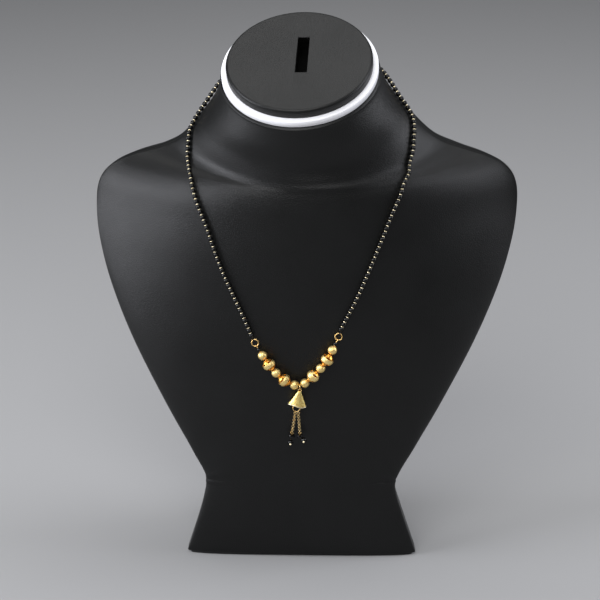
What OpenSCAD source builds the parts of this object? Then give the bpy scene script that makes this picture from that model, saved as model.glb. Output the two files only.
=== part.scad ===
// A short mangalsutra of black beads and gold balls, lying on a leatherette neck bust.
// The bust faces -Y and stands on the plane Z = 0, with the origin at the middle of its foot.
// Angles around the bust start at +X and turn through the front (-Y), so 90 is the front middle.

/* [Neck bust] */
// Height from the floor to the middle of the neck's top
bust_h = 267; // [230:1:300]
// Width across the shoulders
shoulder_w = 226; // [200:1:250]
// Depth that the section table's depths are shares of
bust_depth = 80; // [74:1:88]
// How far the neck's top leans forward, in degrees
neck_lean = 27; // [20:1:30]
// How far the neck's top rolls down to the left, in degrees
neck_roll = 4; // [0:0.5:6]
// Thickness of the board under the foot
base_t = 1.5; // [1:0.1:3]
// How far the foot board keeps inside the leatherette edge
base_inset = 2; // [1:0.1:4]
// Width of the rolled leatherette edge outside the white board
lip_w = 1.3; // [0.6:0.1:2]
// Height of the rolled edge
lip_h = 4.6; // [2.4:0.1:6]

/* [Neck top] */
// Diameter of the white board
board_d = 81.4; // [78:0.1:84]
// Thickness of the white board
board_t = 3.6; // [2:0.1:5]
// How far the pad keeps inside the white board
pad_inset = 2.7; // [1:0.1:4]
// Thickness of the top pad
pad_t = 5.2; // [4:0.1:8]
// Rounding of the pad's upper edge
pad_round = 1.6; // [0.5:0.1:2]
// Width of the slot for a ring
slot_w = 6; // [4.6:0.1:8]
// Length of the slot
slot_l = 26.5; // [15:0.5:30]
// Turn of the slot on the pad, in degrees
slot_turn = 4.4; // [0:0.2:10]
// Places of the slot's middle: to the side, and up the slope from the pad's middle
slot_side = 1.8; // [-3:0.1:3]
slot_up = 4; // [0:0.5:9]

/* [Black strings] */
// Diameter of a black bead
bead_d = 2.5; // [2:0.1:3]
// Spacing of the black beads along the thread, with room for a tiny spacer
bead_pitch = 2.9; // [2.8:0.05:3.6]
// Diameter of the thread
thread_d = 0.4; // [0.3:0.05:0.5]
// Clearance between a thread or wire and the bore round it
bore_gap = 0.3; // [0.15:0.05:0.4]
// Diameter and length of the barrel clasp behind the neck
clasp_d = 3.8; // [3:0.1:5]
clasp_l = 8; // [6:0.5:10]

/* [Gold section] */
// Diameter of a small frosted ball
small_d = 4.9; // [4:0.1:5.4]
// Diameter of a large pierced ball, over its frosted band
large_d = 6.8; // [6:0.1:7.6]
// Wall of the large balls
shell_t = 0.55; // [0.4:0.05:0.8]
// Width of the frosted band round a large ball
band_w = 2.5; // [1.8:0.1:3]
// How far the band stands proud of the polished caps
band_rise = 0.15; // [0.05:0.05:0.3]
// Windows on each side of the band
windows = 4; // [3:1:6]
// Height of a window along the ball's axis
window_h = 0.75; // [0.5:0.05:1]
// Share of each window's turn that is open
window_share = 0.64; // [0.4:0.02:0.8]
// Diameter of the collars at the ends of a large ball
collar_d = 2.6; // [2:0.1:3]
// Diameter of the wire through the balls
wire_d = 0.5; // [0.4:0.05:0.6]
// Mean radius and wire of the two jump rings
ring_r = 1.85; // [1.6:0.05:2.4]
ring_wire = 0.6; // [0.5:0.05:0.7]
// Mean radius of the eyes at the ends of the wire and the thread
eye_r = 0.78; // [0.74:0.02:0.9]

/* [Pendant] */
// Mean radius and wire of the bail over the front wire
bail_r = 1.7; // [1.5:0.05:2.2]
bail_wire = 0.5; // [0.4:0.05:0.6]
// Mean radius and wire of the eyes on the bell
bell_eye_r = 0.8; // [0.75:0.05:1]
bell_eye_wire = 0.44; // [0.36:0.02:0.5]
// Height, width, front-to-back depth and wall of the bell, which is flattened
bell_h = 8.2; // [6:0.1:9]
bell_w = 10.2; // [8:0.1:12]
bell_d = 5.6; // [4:0.1:6.4]
bell_wall = 0.45; // [0.3:0.05:0.7]
// Thickness of the rolled rim of the bell
rim_d = 0.7; // [0.6:0.05:0.9]
// Swing of the bell to the left, in degrees
bell_swing = 9.5; // [0:0.5:12]
// Mean radius and wire of the ring that the chains hang from
tassel_r = 1.95; // [1.7:0.05:2.3]
tassel_wire = 0.44; // [0.4:0.02:0.5]
// Mean radius and wire of a chain link
link_r = 0.66; // [0.62:0.01:0.72]
link_wire = 0.25; // [0.22:0.01:0.28]
// Number of links in the left and right chains
links_left = 13; // [8:1:20]
links_right = 13; // [8:1:20]
// Diameter and height of the upper beads, which are flat
cap_bead_d = 3.2; // [2.6:0.1:3.4]
cap_bead_h = 1.7; // [1.2:0.1:2]
// Diameter of the lower beads, which are round
drop_bead_d = 3.1; // [2.6:0.1:3.4]
// Wire and head of the pins that hold the tassel beads
pin_d = 0.32; // [0.26:0.02:0.4]
pin_head_d = 1.2; // [0.9:0.1:1.5]

/* [Fits] */
// Gap between a bead or ball and the bust that it lies on
seat_gap = 0.25; // [0.15:0.05:0.5]
// Gap between faces that lie on each other
face_gap = 0.05; // [0.02:0.01:0.1]
// Gap between balls on the wire
ball_gap = 0.12; // [0.1:0.02:0.3]
// Clearance between two linked rings
link_gap = 0.1; // [0.08:0.01:0.14]
// Diameter of the round beads on the ends of the front wire
front_bead_d = 2.2; // [2:0.1:3]

/* [Hidden] */
$fn = 32;

leatherette = [0.07, 0.075, 0.08];
white_card = [0.93, 0.93, 0.94];
black_glass = [0.02, 0.02, 0.025];
gold = [0.86, 0.67, 0.30];
frosted_gold = [0.90, 0.78, 0.52];

half_w = shoulder_w / 2;
board_r = board_d / 2;
pad_r = board_r - pad_inset;
body_bottom = base_t + face_gap;
body_h = bust_h - body_bottom;
up_neck = [-cos(neck_lean) * sin(neck_roll), -sin(neck_lean), cos(neck_lean) * cos(neck_roll)];
// Middle of the neck's top, to the side and behind the origin
neck_top_x = -0.013 * half_w;
neck_top_y = -0.0375 * bust_depth;
neck_top = [neck_top_x, neck_top_y, bust_h];

// Sections of the bust, from the foot to the neck. The height is a share of the body's, the side
// shift and half width are shares of half the shoulders, and the middle, front and back are shares
// of the depth. front_p and front_q bend the front's curve, back_n squares the back, and the last
// column is the share of the neck's lean that the section has. The roll goes by its cube.
// height, shift, half width, middle, front, back, front_p, front_q, back_n, lean
SECTIONS = [
    [0.000, -0.002, 0.557, -0.375, 0.050, 0.800, 2.6, 2.00, 2.2, 0.00],
    [0.086, -0.004, 0.494, -0.375, 0.063, 0.775, 2.6, 2.00, 2.2, 0.00],
    [0.134, -0.007, 0.464, -0.375, 0.075, 0.750, 2.5, 1.90, 2.2, 0.00],
    [0.161, -0.006, 0.458, -0.370, 0.085, 0.740, 2.4, 1.80, 2.2, 0.00],
    [0.192, -0.001, 0.481, -0.363, 0.100, 0.750, 2.3, 1.70, 2.3, 0.00],
    [0.318, 0.002, 0.644, -0.300, 0.175, 0.750, 2.2, 1.60, 2.5, 0.00],
    [0.454, 0.004, 0.810, -0.188, 0.300, 0.638, 2.1, 1.40, 2.6, 0.03],
    [0.563, 0.007, 0.920, -0.063, 0.428, 0.513, 2.0, 1.20, 2.7, 0.06],
    [0.650, 0.010, 0.980, 0.050, 0.531, 0.400, 2.0, 1.05, 2.7, 0.09],
    [0.717, 0.014, 0.997, 0.113, 0.588, 0.338, 2.0, 0.90, 2.6, 0.12],
    [0.763, 0.019, 0.984, 0.138, 0.608, 0.313, 2.0, 0.84, 2.5, 0.14],
    [0.792, 0.028, 0.932, 0.150, 0.613, 0.300, 2.0, 0.82, 2.4, 0.17],
    [0.811, 0.034, 0.844, 0.150, 0.606, 0.300, 2.0, 0.84, 2.4, 0.21],
    [0.826, 0.040, 0.730, 0.138, 0.593, 0.313, 2.0, 0.90, 2.4, 0.28],
    [0.849, 0.024, 0.611, 0.113, 0.563, 0.350, 2.0, 1.10, 2.3, 0.42],
    [0.895, 0.007, 0.500, 0.063, 0.519, 0.400, 2.0, 1.60, 2.2, 0.70],
    [0.943, -0.003, 0.413, -0.006, 0.500, 0.488, 2.0, 2.00, 2.0, 0.86],
    lip_section(lip_h, board_r + lip_w, 0.90),
    lip_section(0.35 * lip_h, board_r + 0.65 * lip_w, 0.97),
    lip_section(0, board_r - 0.9 * lip_w, 1.00)];
last_section = len(SECTIONS) - 1;
rings_per_section = 3;
around_steps = 48;

// Route of the whole loop, from the bail up the left side, round the back and down the right.
// around is in degrees, section counts down the table above, seat runs from 0 on black beads to 1
// on the large balls, and stand_off lifts the strand off the nape.
// around, section, seat, stand_off
ROUTE = [
    [90.8, 5.60, 1.0, 0.0], [96.1, 5.67, 1.0, 0.0], [100.8, 5.91, 1.0, 0.0], [104.8, 6.27, 0.3, 0.0],
    [107.9, 6.82, 0.0, 0.0], [112.9, 7.90, 0.0, 0.0], [118.3, 9.50, 0.0, 0.0], [125.6, 11.20, 0.0, 0.0],
    [131.7, 12.11, 0.0, 0.0], [142.5, 13.11, 0.0, 0.0], [153.3, 13.92, 0.0, 0.0], [162.4, 14.36, 0.0, 0.0],
    [173.0, 14.67, 0.0, 0.0], [181.5, 14.92, 0.0, 0.0], [188.0, 15.25, 0.0, 0.0], [196.0, 15.65, 0.0, 0.0],
    [212.0, 16.00, 0.0, 0.0], [242.0, 16.15, 0.0, 0.5], [270.0, 16.10, 0.0, 1.3], [298.0, 16.15, 0.0, 0.5],
    [326.0, 16.15, 0.0, 0.0], [343.0, 15.95, 0.0, 0.0], [351.5, 15.70, 0.0, 0.0], [355.5, 15.40, 0.0, 0.0],
    [361.5, 15.12, 0.0, 0.0], [372.5, 14.93, 0.0, 0.0], [388.2, 14.52, 0.0, 0.0], [406.0, 13.65, 0.0, 0.0],
    [418.9, 12.15, 0.0, 0.0], [424.7, 10.55, 0.0, 0.0], [429.7, 8.70, 0.0, 0.0], [434.3, 7.34, 0.0, 0.0],
    [438.4, 6.58, 0.0, 0.0], [439.2, 6.40, 0.3, 0.0], [442.0, 6.02, 1.0, 0.0], [446.2, 5.75, 1.0, 0.0]];
clasp_row = 18;
route_steps = 8;

// Vector helpers
function unit(v) = v / norm(v);
function curve(a, b, c, d, f) =
    (2 * b + (c - a) * f + (2 * a - 5 * b + 4 * c - d) * f * f + (3 * b - a - 3 * c + d) * f * f * f) / 2;

// A section of the neck's rolled edge, at a depth below the top, with a radius and a share of the lean
function lip_section(drop, r, share) =
    let (middle = neck_top - drop * up_neck)
    [(middle[2] - body_bottom) / body_h, middle[0] / half_w, r / half_w,
        middle[1] / bust_depth, r / bust_depth, r / bust_depth, 2, 2, 2, share];

// The bust's surface
function section_row(k) =
    k < 0 ? 2 * SECTIONS[0] - SECTIONS[1] :
    k > last_section ? 2 * SECTIONS[last_section] - SECTIONS[last_section - 1] : SECTIONS[k];
function section_at(v) =
    let (k = min(max(floor(v), 0), last_section - 1))
    curve(section_row(k - 1), section_row(k), section_row(k + 1), section_row(k + 2), v - k);
function bust_point(u, v) =
    let (
        row = section_at(v),
        reach = sin(u) >= 0
            ? -row[4] * pow(max(0, 1 - pow(abs(cos(u)), row[6])), 1 / row[7])
            : row[5] * pow(max(0, 1 - pow(abs(cos(u)), row[8])), 1 / row[8]),
        lean = neck_lean * row[9],
        roll = neck_roll * pow(row[9], 3),
        side = half_w * row[2] * cos(u),
        rise = bust_depth * reach * sin(lean))
    [half_w * row[1] + side * cos(roll) - rise * sin(roll),
        bust_depth * (row[3] + reach * cos(lean)),
        body_bottom + body_h * row[0] + side * sin(roll) + rise * cos(roll)];
function bust_normal(u, v) =
    unit(cross(
        bust_point(u, min(v + 0.05, last_section)) - bust_point(u, max(v - 0.05, 0)),
        bust_point(u + 1, v) - bust_point(u - 1, v)));

// The strand's line over the bust, by row number and then by distance from the bail
function route_row(k) =
    let (n = len(ROUTE), turns = floor(k / n))
    ROUTE[k - turns * n] + [360 * turns, 0, 0, 0];
function route_at(t) =
    let (k = floor(t))
    curve(route_row(k - 1), route_row(k), route_row(k + 1), route_row(k + 2), t - k);
function route_point(t) =
    let (
        row = route_at(t),
        seat = min(max(row[2], 0), 1),
        lift = (bead_d + (large_d - bead_d) * seat) / 2 + seat_gap + max(row[3], 0))
    bust_point(row[0], row[1]) + lift * bust_normal(row[0], row[1]);
route_line = [for (i = [0:len(ROUTE) * route_steps]) route_point(i / route_steps)];
route_runs = [for (i = 0, s = 0; i < len(route_line);
    i = i + 1, s = s + (i < len(route_line) ? norm(route_line[i] - route_line[i - 1]) : 0)) s];
run_table = [for (i = [0:len(route_line) - 1]) [route_runs[i], i / route_steps]];
loop_l = route_runs[len(route_runs) - 1];
clasp_run = route_runs[clasp_row * route_steps];
function strand(s) = route_point(lookup(s < 0 ? s + loop_l : s, run_table));
function strand_way(s) = unit(strand(s + 0.5) - strand(s - 0.5));
function strand_normal(s) =
    let (row = route_at(lookup(s < 0 ? s + loop_l : s, run_table)))
    side_way(strand_way(s), bust_normal(row[0], row[1]));

// Distances along the front wire from the bail, the same on both sides
first_small = (bail_wire + small_d) / 2 + 2 * ball_gap;
ball_step = (small_d + large_d) / 2 + ball_gap;
function small_run(k) = first_small + 2 * k * ball_step;
function large_run(k) = first_small + (2 * k + 1) * ball_step;
front_bead_run = small_run(2) + (small_d + front_bead_d) / 2 + ball_gap;
eye_out = ring_r + link_gap + eye_r;
ring_run = front_bead_run + front_bead_d / 2 + wire_d / 2 + ball_gap + eye_out;
string_start = ring_run + eye_out + thread_d + bead_d / 2 + ball_gap;
string_end = clasp_l / 2 + bead_d / 2 + ball_gap;
bore_d = thread_d + 2 * bore_gap;
wire_bore_d = wire_d + 2 * bore_gap;

// Distances of the black beads, from the lower end of each side to the clasp
function bead_runs(from, to) =
    let (n = floor((to - from) / bead_pitch))
    [for (i = [0:n]) from + (to - from) * i / n];
left_runs = bead_runs(string_start, clasp_run - string_end);
right_runs = bead_runs(clasp_run + string_end, loop_l - string_start);

// Where the pendant and its tassel hang
bail_low = strand(0) - [0, 0, 2 * bail_r - (bail_wire + wire_d) / 2 - 2 * link_gap];
swing_down = [-sin(bell_swing), 0, -cos(bell_swing)];
bell_eye_drop = bell_eye_r - (bail_wire + bell_eye_wire) / 2 - link_gap;
bell_top = bell_eye_drop + bell_eye_r;
tassel_drop = bell_top + bell_h + 0.885 * tassel_r;
loop_drop = tassel_drop - tassel_r + (tassel_wire + bell_eye_wire) / 2 + link_gap - bell_eye_r;
tassel_middle = bail_low + tassel_drop * swing_down;
link_step = 2 * link_r - link_wire - link_gap;
hook_drop = link_r - (link_wire + tassel_wire) / 2 - link_gap;
// Angles on the tassel ring that the chains hang from, and how far each runs to the side per mm
hook_left = -18;
hook_right = 26;
drift_left = -0.14;
drift_right = 0.07;
function chain_way(drift) = unit([drift, 0, -1]);
function chain_start(hook, drift) =
    tassel_middle + tassel_r * [sin(hook), 0, -cos(hook)] + hook_drop * chain_way(drift);
function chain_end(hook, drift, n) = chain_start(hook, drift) + n * link_step * chain_way(drift);
// Places of the lower beads from the pin's eye, in drop bead diameters, and the way their pin points
drop_left = [-0.25, -0.1, -1.78];
drop_right = [0.70, -0.3, -1.22];
pin_way = [0, -1, 0];
// Room for the pin's wire where it turns behind a lower bead
pin_room = 0.45;

// The crosswise way at an angle, for a piece turned along a way
function crosswise(way, a) =
    let (tip = acos(way[2] / norm(way)), turn = atan2(way[1], way[0]))
    cos(a) * [cos(turn) * cos(tip), sin(turn) * cos(tip), -sin(tip)] + sin(a) * [-sin(turn), cos(turn), 0];

// Turn a piece that stands along Z so that it points along a way
module along(place, way)
    translate(place)
        rotate([0, acos(way[2] / norm(way)), atan2(way[1], way[0])])
            children();

// A round ring of wire about an axis
module wire_ring(place, axis, r, wire)
    along(place, axis)
        rotate_extrude($fn = 36)
            translate([r, 0])
                circle(d = wire, $fn = 16);

// A straight rod between two places
module rod(a, b, d)
    along((a + b) / 2, b - a)
        cylinder(h = norm(b - a), d = d, center = true, $fn = 16);

// A ball with a bore along a way
module drilled_ball(place, way, d, bore)
    along(place, way)
        difference() {
            sphere(d = d);
            cylinder(h = d + 1, d = bore, center = true);
        }

// One tube through a list of places, as a closed skin
function side_way(way, last) = unit(last - (last * way) * way);
function tube_ways(places) =
    [for (i = [0:len(places) - 1])
        unit(places[min(i + 1, len(places) - 1)] - places[max(i - 1, 0)])];
function tube_sides(ways, first) =
    [for (i = 0, s = side_way(ways[0], first); i < len(ways);
        i = i + 1, s = i < len(ways) ? side_way(ways[i], s) : s) s];
module tube(places, d, first_side, sides = 6) {
    ways = tube_ways(places);
    side = tube_sides(ways, first_side);
    points = [for (i = [0:len(places) - 1])
        for (k = [0:sides - 1])
            places[i] + d / 2 * (cos(360 * k / sides) * side[i]
                + sin(360 * k / sides) * cross(ways[i], side[i]))];
    last = (len(places) - 1) * sides;
    polyhedron(
        points = points,
        faces = concat(
            [[for (k = [0:sides - 1]) k]],
            [for (i = [0:len(places) - 2])
                for (k = [0:sides - 1])
                    [i * sides + k, (i + 1) * sides + k,
                        (i + 1) * sides + (k + 1) % sides, i * sides + (k + 1) % sides]],
            [[for (k = [sides - 1:-1:0]) last + k]]));
}

module bust_body()
    color(leatherette) {
        rings = last_section * rings_per_section;
        points = [for (i = [0:rings])
            for (j = [0:around_steps - 1])
                bust_point(360 * j / around_steps, i / rings_per_section)];
        top = rings * around_steps;
        polyhedron(
            points = points,
            faces = concat(
                [[for (j = [0:around_steps - 1]) j]],
                [for (i = [0:rings - 1])
                    for (j = [0:around_steps - 1])
                        [i * around_steps + j, (i + 1) * around_steps + j,
                            (i + 1) * around_steps + (j + 1) % around_steps,
                            i * around_steps + (j + 1) % around_steps]],
                [[for (j = [around_steps - 1:-1:0]) top + j]]));
    }

// The foot board has the foot's outline, drawn in towards its middle
module base_board()
    color(leatherette) {
        foot = [for (j = [0:around_steps - 1]) bust_point(360 * j / around_steps, 0)];
        linear_extrude(base_t)
            polygon([for (p = foot) [p[0], p[1]] - base_inset * unit([p[0], p[1]])]);
    }

// The slot for a ring, cut from a face upwards
module ring_slot(h)
    translate([slot_side, slot_up, h / 2])
        rotate([0, 0, -slot_turn])
            cube([slot_w, slot_l, h + 2], center = true);

module neck_board()
    color(white_card)
        translate(neck_top + face_gap * up_neck)
            rotate([neck_lean, -neck_roll, 0])
                difference() {
                    cylinder(h = board_t, r = board_r, $fn = 96);
                    ring_slot(board_t);
                }

module neck_pad()
    color(leatherette)
        translate(neck_top + (2 * face_gap + board_t) * up_neck)
            rotate([neck_lean, -neck_roll, 0])
                difference() {
                    rotate_extrude($fn = 96) {
                        square([pad_r - pad_round, pad_t]);
                        square([pad_r, pad_t - pad_round]);
                        intersection() {
                            translate([pad_r - pad_round, pad_t - pad_round])
                                circle(r = pad_round);
                            square([pad_r, pad_t]);
                        }
                    }
                    ring_slot(pad_t);
                }

// A string of black beads, each drilled along the strand
module bead_string(runs)
    color(black_glass)
        for (s = runs)
            drilled_ball(strand(s), strand_way(s), bead_d, bore_d);

module black_beads_left() bead_string(left_runs);
module black_beads_right() bead_string(right_runs);

// Frame at a jump ring: its middle, the way along the strand and the way out from the bust
function ring_s(side) = side < 0 ? ring_run : loop_l - ring_run;
function eye_middle(side, up) =
    strand(ring_s(side)) - side * up * (ring_r + link_gap) * strand_way(ring_s(side));
function eye_axis(side) = cross(strand_way(ring_s(side)), strand_normal(ring_s(side)));

// A loop of wire that ends where the wire leaves it, along a way
function open_loop(middle, r, way, out) =
    [for (a = [50:31:360]) middle + r * (cos(a) * way + sin(a) * out)];
// An end loop of the thread or the front wire, round a jump ring
function end_loop(side, up) =
    open_loop(eye_middle(side, up), eye_r,
        -side * up * strand_way(ring_s(side)), strand_normal(ring_s(side)));
function backwards(list) = [for (k = [len(list) - 1:-1:0]) list[k]];

module bead_thread()
    color(black_glass)
        tube(
            concat(
                end_loop(-1, 1),
                [for (s = left_runs) strand(s)],
                [strand(clasp_run - clasp_l / 2), strand(clasp_run + clasp_l / 2)],
                [for (s = right_runs) strand(s)],
                backwards(end_loop(1, 1))),
            thread_d, eye_axis(-1));

module clasp()
    color(gold) {
        a = strand(clasp_run - clasp_l / 2);
        b = strand(clasp_run + clasp_l / 2);
        along((a + b) / 2, b - a)
            difference() {
                intersection() {
                    cylinder(h = clasp_l - 2 * ball_gap, d = clasp_d, center = true);
                    sphere(d = 1.06 * clasp_l);
                }
                cylinder(h = clasp_l + 1, d = bore_d, center = true);
            }
    }

module jump_ring(side)
    color(gold)
        wire_ring(strand(ring_s(side)), strand_normal(ring_s(side)), ring_r, ring_wire);
module jump_ring_left() jump_ring(-1);
module jump_ring_right() jump_ring(1);

module front_bead(run)
    color(black_glass)
        drilled_ball(strand(run), strand_way(run), front_bead_d, wire_bore_d);
module front_bead_left() front_bead(front_bead_run);
module front_bead_right() front_bead(-front_bead_run);

// The front wire, from loop to loop through the bail and straight through the bores of
// the beads and balls. Each of these has its run from the bail and its diameter in a row
threaded = [
    [front_bead_run, front_bead_d], [small_run(2), small_d], [large_run(1), large_d],
    [small_run(1), small_d], [large_run(0), large_d], [small_run(0), small_d]];
bore_share = 0.4;
function half_wire(side) =
    [for (row = threaded, end = [1, -1])
        strand(-side * row[0]) - side * end * bore_share * row[1] * strand_way(-side * row[0])];
module front_wire()
    color(gold)
        tube(
            concat(
                end_loop(-1, -1), half_wire(-1), [strand(0)],
                backwards(half_wire(1)), backwards(end_loop(1, -1))),
            wire_d, eye_axis(-1), 8);

module gold_ball_small(run)
    color(frosted_gold)
        drilled_ball(strand(run), strand_way(run), small_d, wire_bore_d);
module gold_ball_small_1() gold_ball_small(small_run(2));
module gold_ball_small_2() gold_ball_small(small_run(1));
module gold_ball_small_3() gold_ball_small(small_run(0));
module gold_ball_small_4() gold_ball_small(-small_run(0));
module gold_ball_small_5() gold_ball_small(-small_run(1));
module gold_ball_small_6() gold_ball_small(-small_run(2));

// A hollow ball with a raised band, a ring of windows on each side of it and a collar at each end
module gold_ball_large(run, turn)
    color(frosted_gold)
        along(strand(run), strand_way(run))
            rotate([0, 0, turn])
                difference() {
                    union() {
                        sphere(d = large_d - 2 * band_rise);
                        intersection() {
                            sphere(d = large_d);
                            cylinder(h = band_w, d = large_d + 1, center = true);
                        }
                        cylinder(h = large_d - band_rise, d = collar_d, center = true);
                    }
                    sphere(d = large_d - 2 * band_rise - 2 * shell_t);
                    cylinder(h = large_d + 1, d = wire_bore_d, center = true);
                    for (end = [0, 1], k = [0:windows - 1])
                        rotate([180 * end, 0, 360 * (k + end / 2) / windows])
                            translate([0, 0, band_w / 2])
                                rotate_extrude(angle = 360 * window_share / windows)
                                    translate([large_d / 5, 0])
                                        square([large_d / 2, window_h]);
                }
module gold_ball_large_1() gold_ball_large(large_run(1), 200);
module gold_ball_large_2() gold_ball_large(large_run(0), 250);
module gold_ball_large_3() gold_ball_large(-large_run(0), 20);
module gold_ball_large_4() gold_ball_large(-large_run(1), 300);

module pendant_bail()
    color(gold)
        wire_ring(bail_low + [0, 0, bail_r], side_way([0, 0, 1], strand_way(0)), bail_r, bail_wire);

// The bell is flattened front to back. It hangs from its eye and has a loop on a stem inside it
module pendant_bell()
    color(gold)
        translate(bail_low)
            rotate([0, bell_swing, 0]) {
                wire_ring([0, 0, -bell_eye_drop], [0, 1, 0], bell_eye_r, bell_eye_wire);
                wire_ring([0, 0, -loop_drop], [1, 0, 0], bell_eye_r, bell_eye_wire);
                rod([0, 0, -bell_top - bell_wall], [0, 0, bell_eye_r - loop_drop], bell_eye_wire);
                translate([0, 0, -bell_top]) scale([1, bell_d / bell_w, 1]) {
                    rotate_extrude($fn = 48)
                        polygon([
                            [0, 0], [0.14 * bell_w / 2, 0], [0.24 * bell_w / 2, -0.10 * bell_h],
                            [0.60 * bell_w / 2, -0.55 * bell_h], [bell_w / 2 - rim_d / 2, rim_d / 2 - bell_h],
                            [bell_w / 2 - rim_d / 2 - bell_wall, rim_d / 2 - bell_h],
                            [0.60 * bell_w / 2 - bell_wall, -0.55 * bell_h],
                            [0.30 * bell_w / 2 - bell_wall, -0.10 * bell_h - 2 * bell_wall],
                            [0, -0.10 * bell_h - bell_wall]]);
                    translate([0, 0, rim_d / 2 - bell_h])
                        rotate_extrude($fn = 48)
                            translate([(bell_w - rim_d) / 2, 0])
                                circle(d = rim_d, $fn = 16);
                }
            }

module tassel_ring()
    color(gold)
        wire_ring(tassel_middle, [0, 1, 0], tassel_r, tassel_wire);

// A chain of round links, each turned a quarter from the last. The first is across the ring
module tassel_chain(hook, drift, n)
    color(gold)
        for (i = [0:n - 1])
            along(chain_start(hook, drift) + i * link_step * chain_way(drift), chain_way(drift))
                rotate([90, 0, 90 * (i + 1)])
                    wire_ring([0, 0, 0], [0, 0, 1], link_r, link_wire);
module tassel_chain_left() tassel_chain(hook_left, drift_left, links_left);
module tassel_chain_right() tassel_chain(hook_right, drift_right, links_right);

// Beads under a chain: a flat one, and a round one whose pin points forward
function cap_middle(hook, drift, n) =
    chain_end(hook, drift, n) + (link_r + link_wire + cap_bead_h / 2) * chain_way(drift);
function drop_middle(hook, drift, n, place) = chain_end(hook, drift, n) + drop_bead_d * place;
module cap_bead(hook, drift, n)
    color(black_glass)
        along(cap_middle(hook, drift, n), chain_way(drift))
            difference() {
                intersection() {
                    sphere(d = cap_bead_d);
                    cylinder(h = cap_bead_h, d = cap_bead_d + 1, center = true);
                }
                cylinder(h = cap_bead_h + 1, d = pin_d + 2 * bore_gap, center = true);
            }
module tassel_cap_bead_left() cap_bead(hook_left, drift_left, links_left);
module tassel_cap_bead_right() cap_bead(hook_right, drift_right, links_right);

module drop_bead(hook, drift, n, place)
    color(black_glass)
        drilled_ball(drop_middle(hook, drift, n, place), pin_way, drop_bead_d, pin_d + 2 * bore_gap);
module tassel_drop_bead_left() drop_bead(hook_left, drift_left, links_left, drop_left);
module tassel_drop_bead_right() drop_bead(hook_right, drift_right, links_right, drop_right);

// A pin: an eye in the last link, a wire through both beads and a round head in front
module tassel_pin(hook, drift, n, place)
    color(gold) {
        eye = chain_end(hook, drift, n);
        way = chain_way(drift);
        drop = drop_middle(hook, drift, n, place);
        head = drop + (drop_bead_d / 2 + pin_head_d / 2) * pin_way;
        tube(
            concat(
                open_loop(eye, link_r, way, crosswise(way, 90 * (n + 1))),
                [cap_middle(hook, drift, n) - cap_bead_h / 2 * way,
                    cap_middle(hook, drift, n) + (cap_bead_h / 2 + pin_d) * way,
                    drop + (drop_bead_d / 2 + pin_room) * unit([0, 0, 0.4] - pin_way),
                    drop - (drop_bead_d / 2 + pin_room) * pin_way, head]),
            pin_d, cross(way, crosswise(way, 90 * (n + 1))));
        translate(head)
            sphere(d = pin_head_d);
    }
module tassel_pin_left() tassel_pin(hook_left, drift_left, links_left, drop_left);
module tassel_pin_right() tassel_pin(hook_right, drift_right, links_right, drop_right);

bust_body();
base_board();
neck_board();
neck_pad();
black_beads_left();
black_beads_right();
bead_thread();
clasp();
jump_ring_left();
jump_ring_right();
front_bead_left();
front_bead_right();
front_wire();
gold_ball_small_1();
gold_ball_small_2();
gold_ball_small_3();
gold_ball_small_4();
gold_ball_small_5();
gold_ball_small_6();
gold_ball_large_1();
gold_ball_large_2();
gold_ball_large_3();
gold_ball_large_4();
pendant_bail();
pendant_bell();
tassel_ring();
tassel_chain_left();
tassel_chain_right();
tassel_cap_bead_left();
tassel_cap_bead_right();
tassel_drop_bead_left();
tassel_drop_bead_right();
tassel_pin_left();
tassel_pin_right();
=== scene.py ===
"""Looks of a short mangalsutra of black beads and gold balls, lying on a leatherette neck bust.

Sizes are in millimetres and become metres when a mesh is made. The bust faces -Y and stands on Z = 0.
Angles around the bust start at +X and turn through the front, so 90 is the front middle.
"""
import logging
import math
from bisect import bisect_right
from dataclasses import dataclass, field
from enum import Enum
from typing import Any, Callable, Iterable, Sequence

import bmesh
import bpy
from bpy.types import Material, Mesh, Node, NodeSocket, NodeTree, Object
from mathutils import Matrix, Vector


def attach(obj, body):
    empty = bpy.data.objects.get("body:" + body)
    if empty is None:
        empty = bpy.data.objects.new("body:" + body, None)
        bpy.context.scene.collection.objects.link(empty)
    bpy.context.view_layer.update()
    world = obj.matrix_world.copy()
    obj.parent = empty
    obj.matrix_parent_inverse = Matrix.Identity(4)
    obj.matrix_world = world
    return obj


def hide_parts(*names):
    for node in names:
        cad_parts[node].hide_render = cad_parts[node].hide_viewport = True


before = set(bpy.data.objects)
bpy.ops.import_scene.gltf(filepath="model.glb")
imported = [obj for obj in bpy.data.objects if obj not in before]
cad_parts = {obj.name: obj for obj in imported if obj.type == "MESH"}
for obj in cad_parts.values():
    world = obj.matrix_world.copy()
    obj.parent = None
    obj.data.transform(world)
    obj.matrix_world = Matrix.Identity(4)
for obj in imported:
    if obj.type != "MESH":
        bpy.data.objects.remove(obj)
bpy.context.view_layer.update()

MM = 0.001
Profile = Sequence[tuple[float, float]]
LOG = logging.getLogger("mangalsutra")
NOISE, VORONOI = "ShaderNodeTexNoise", "ShaderNodeTexVoronoi"
UP, FRONT = Vector((0, 0, 1)), Vector((0, -1, 0))


# Colour, mesh and node helpers


def linear(code: str) -> tuple[float, float, float, float]:
    """Turns an sRGB hex colour to linear.

    Args:
        code: The colour, such as "#c8a060".

    Returns:
        Linear red, green, blue and an alpha of 1.
    """
    parts = [int(code[i : i + 2], 16) / 255 for i in (1, 3, 5)]
    turned = [c / 12.92 if c <= 0.04045 else ((c + 0.055) / 1.055) ** 2.4 for c in parts]
    return (turned[0], turned[1], turned[2], 1.0)


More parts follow.
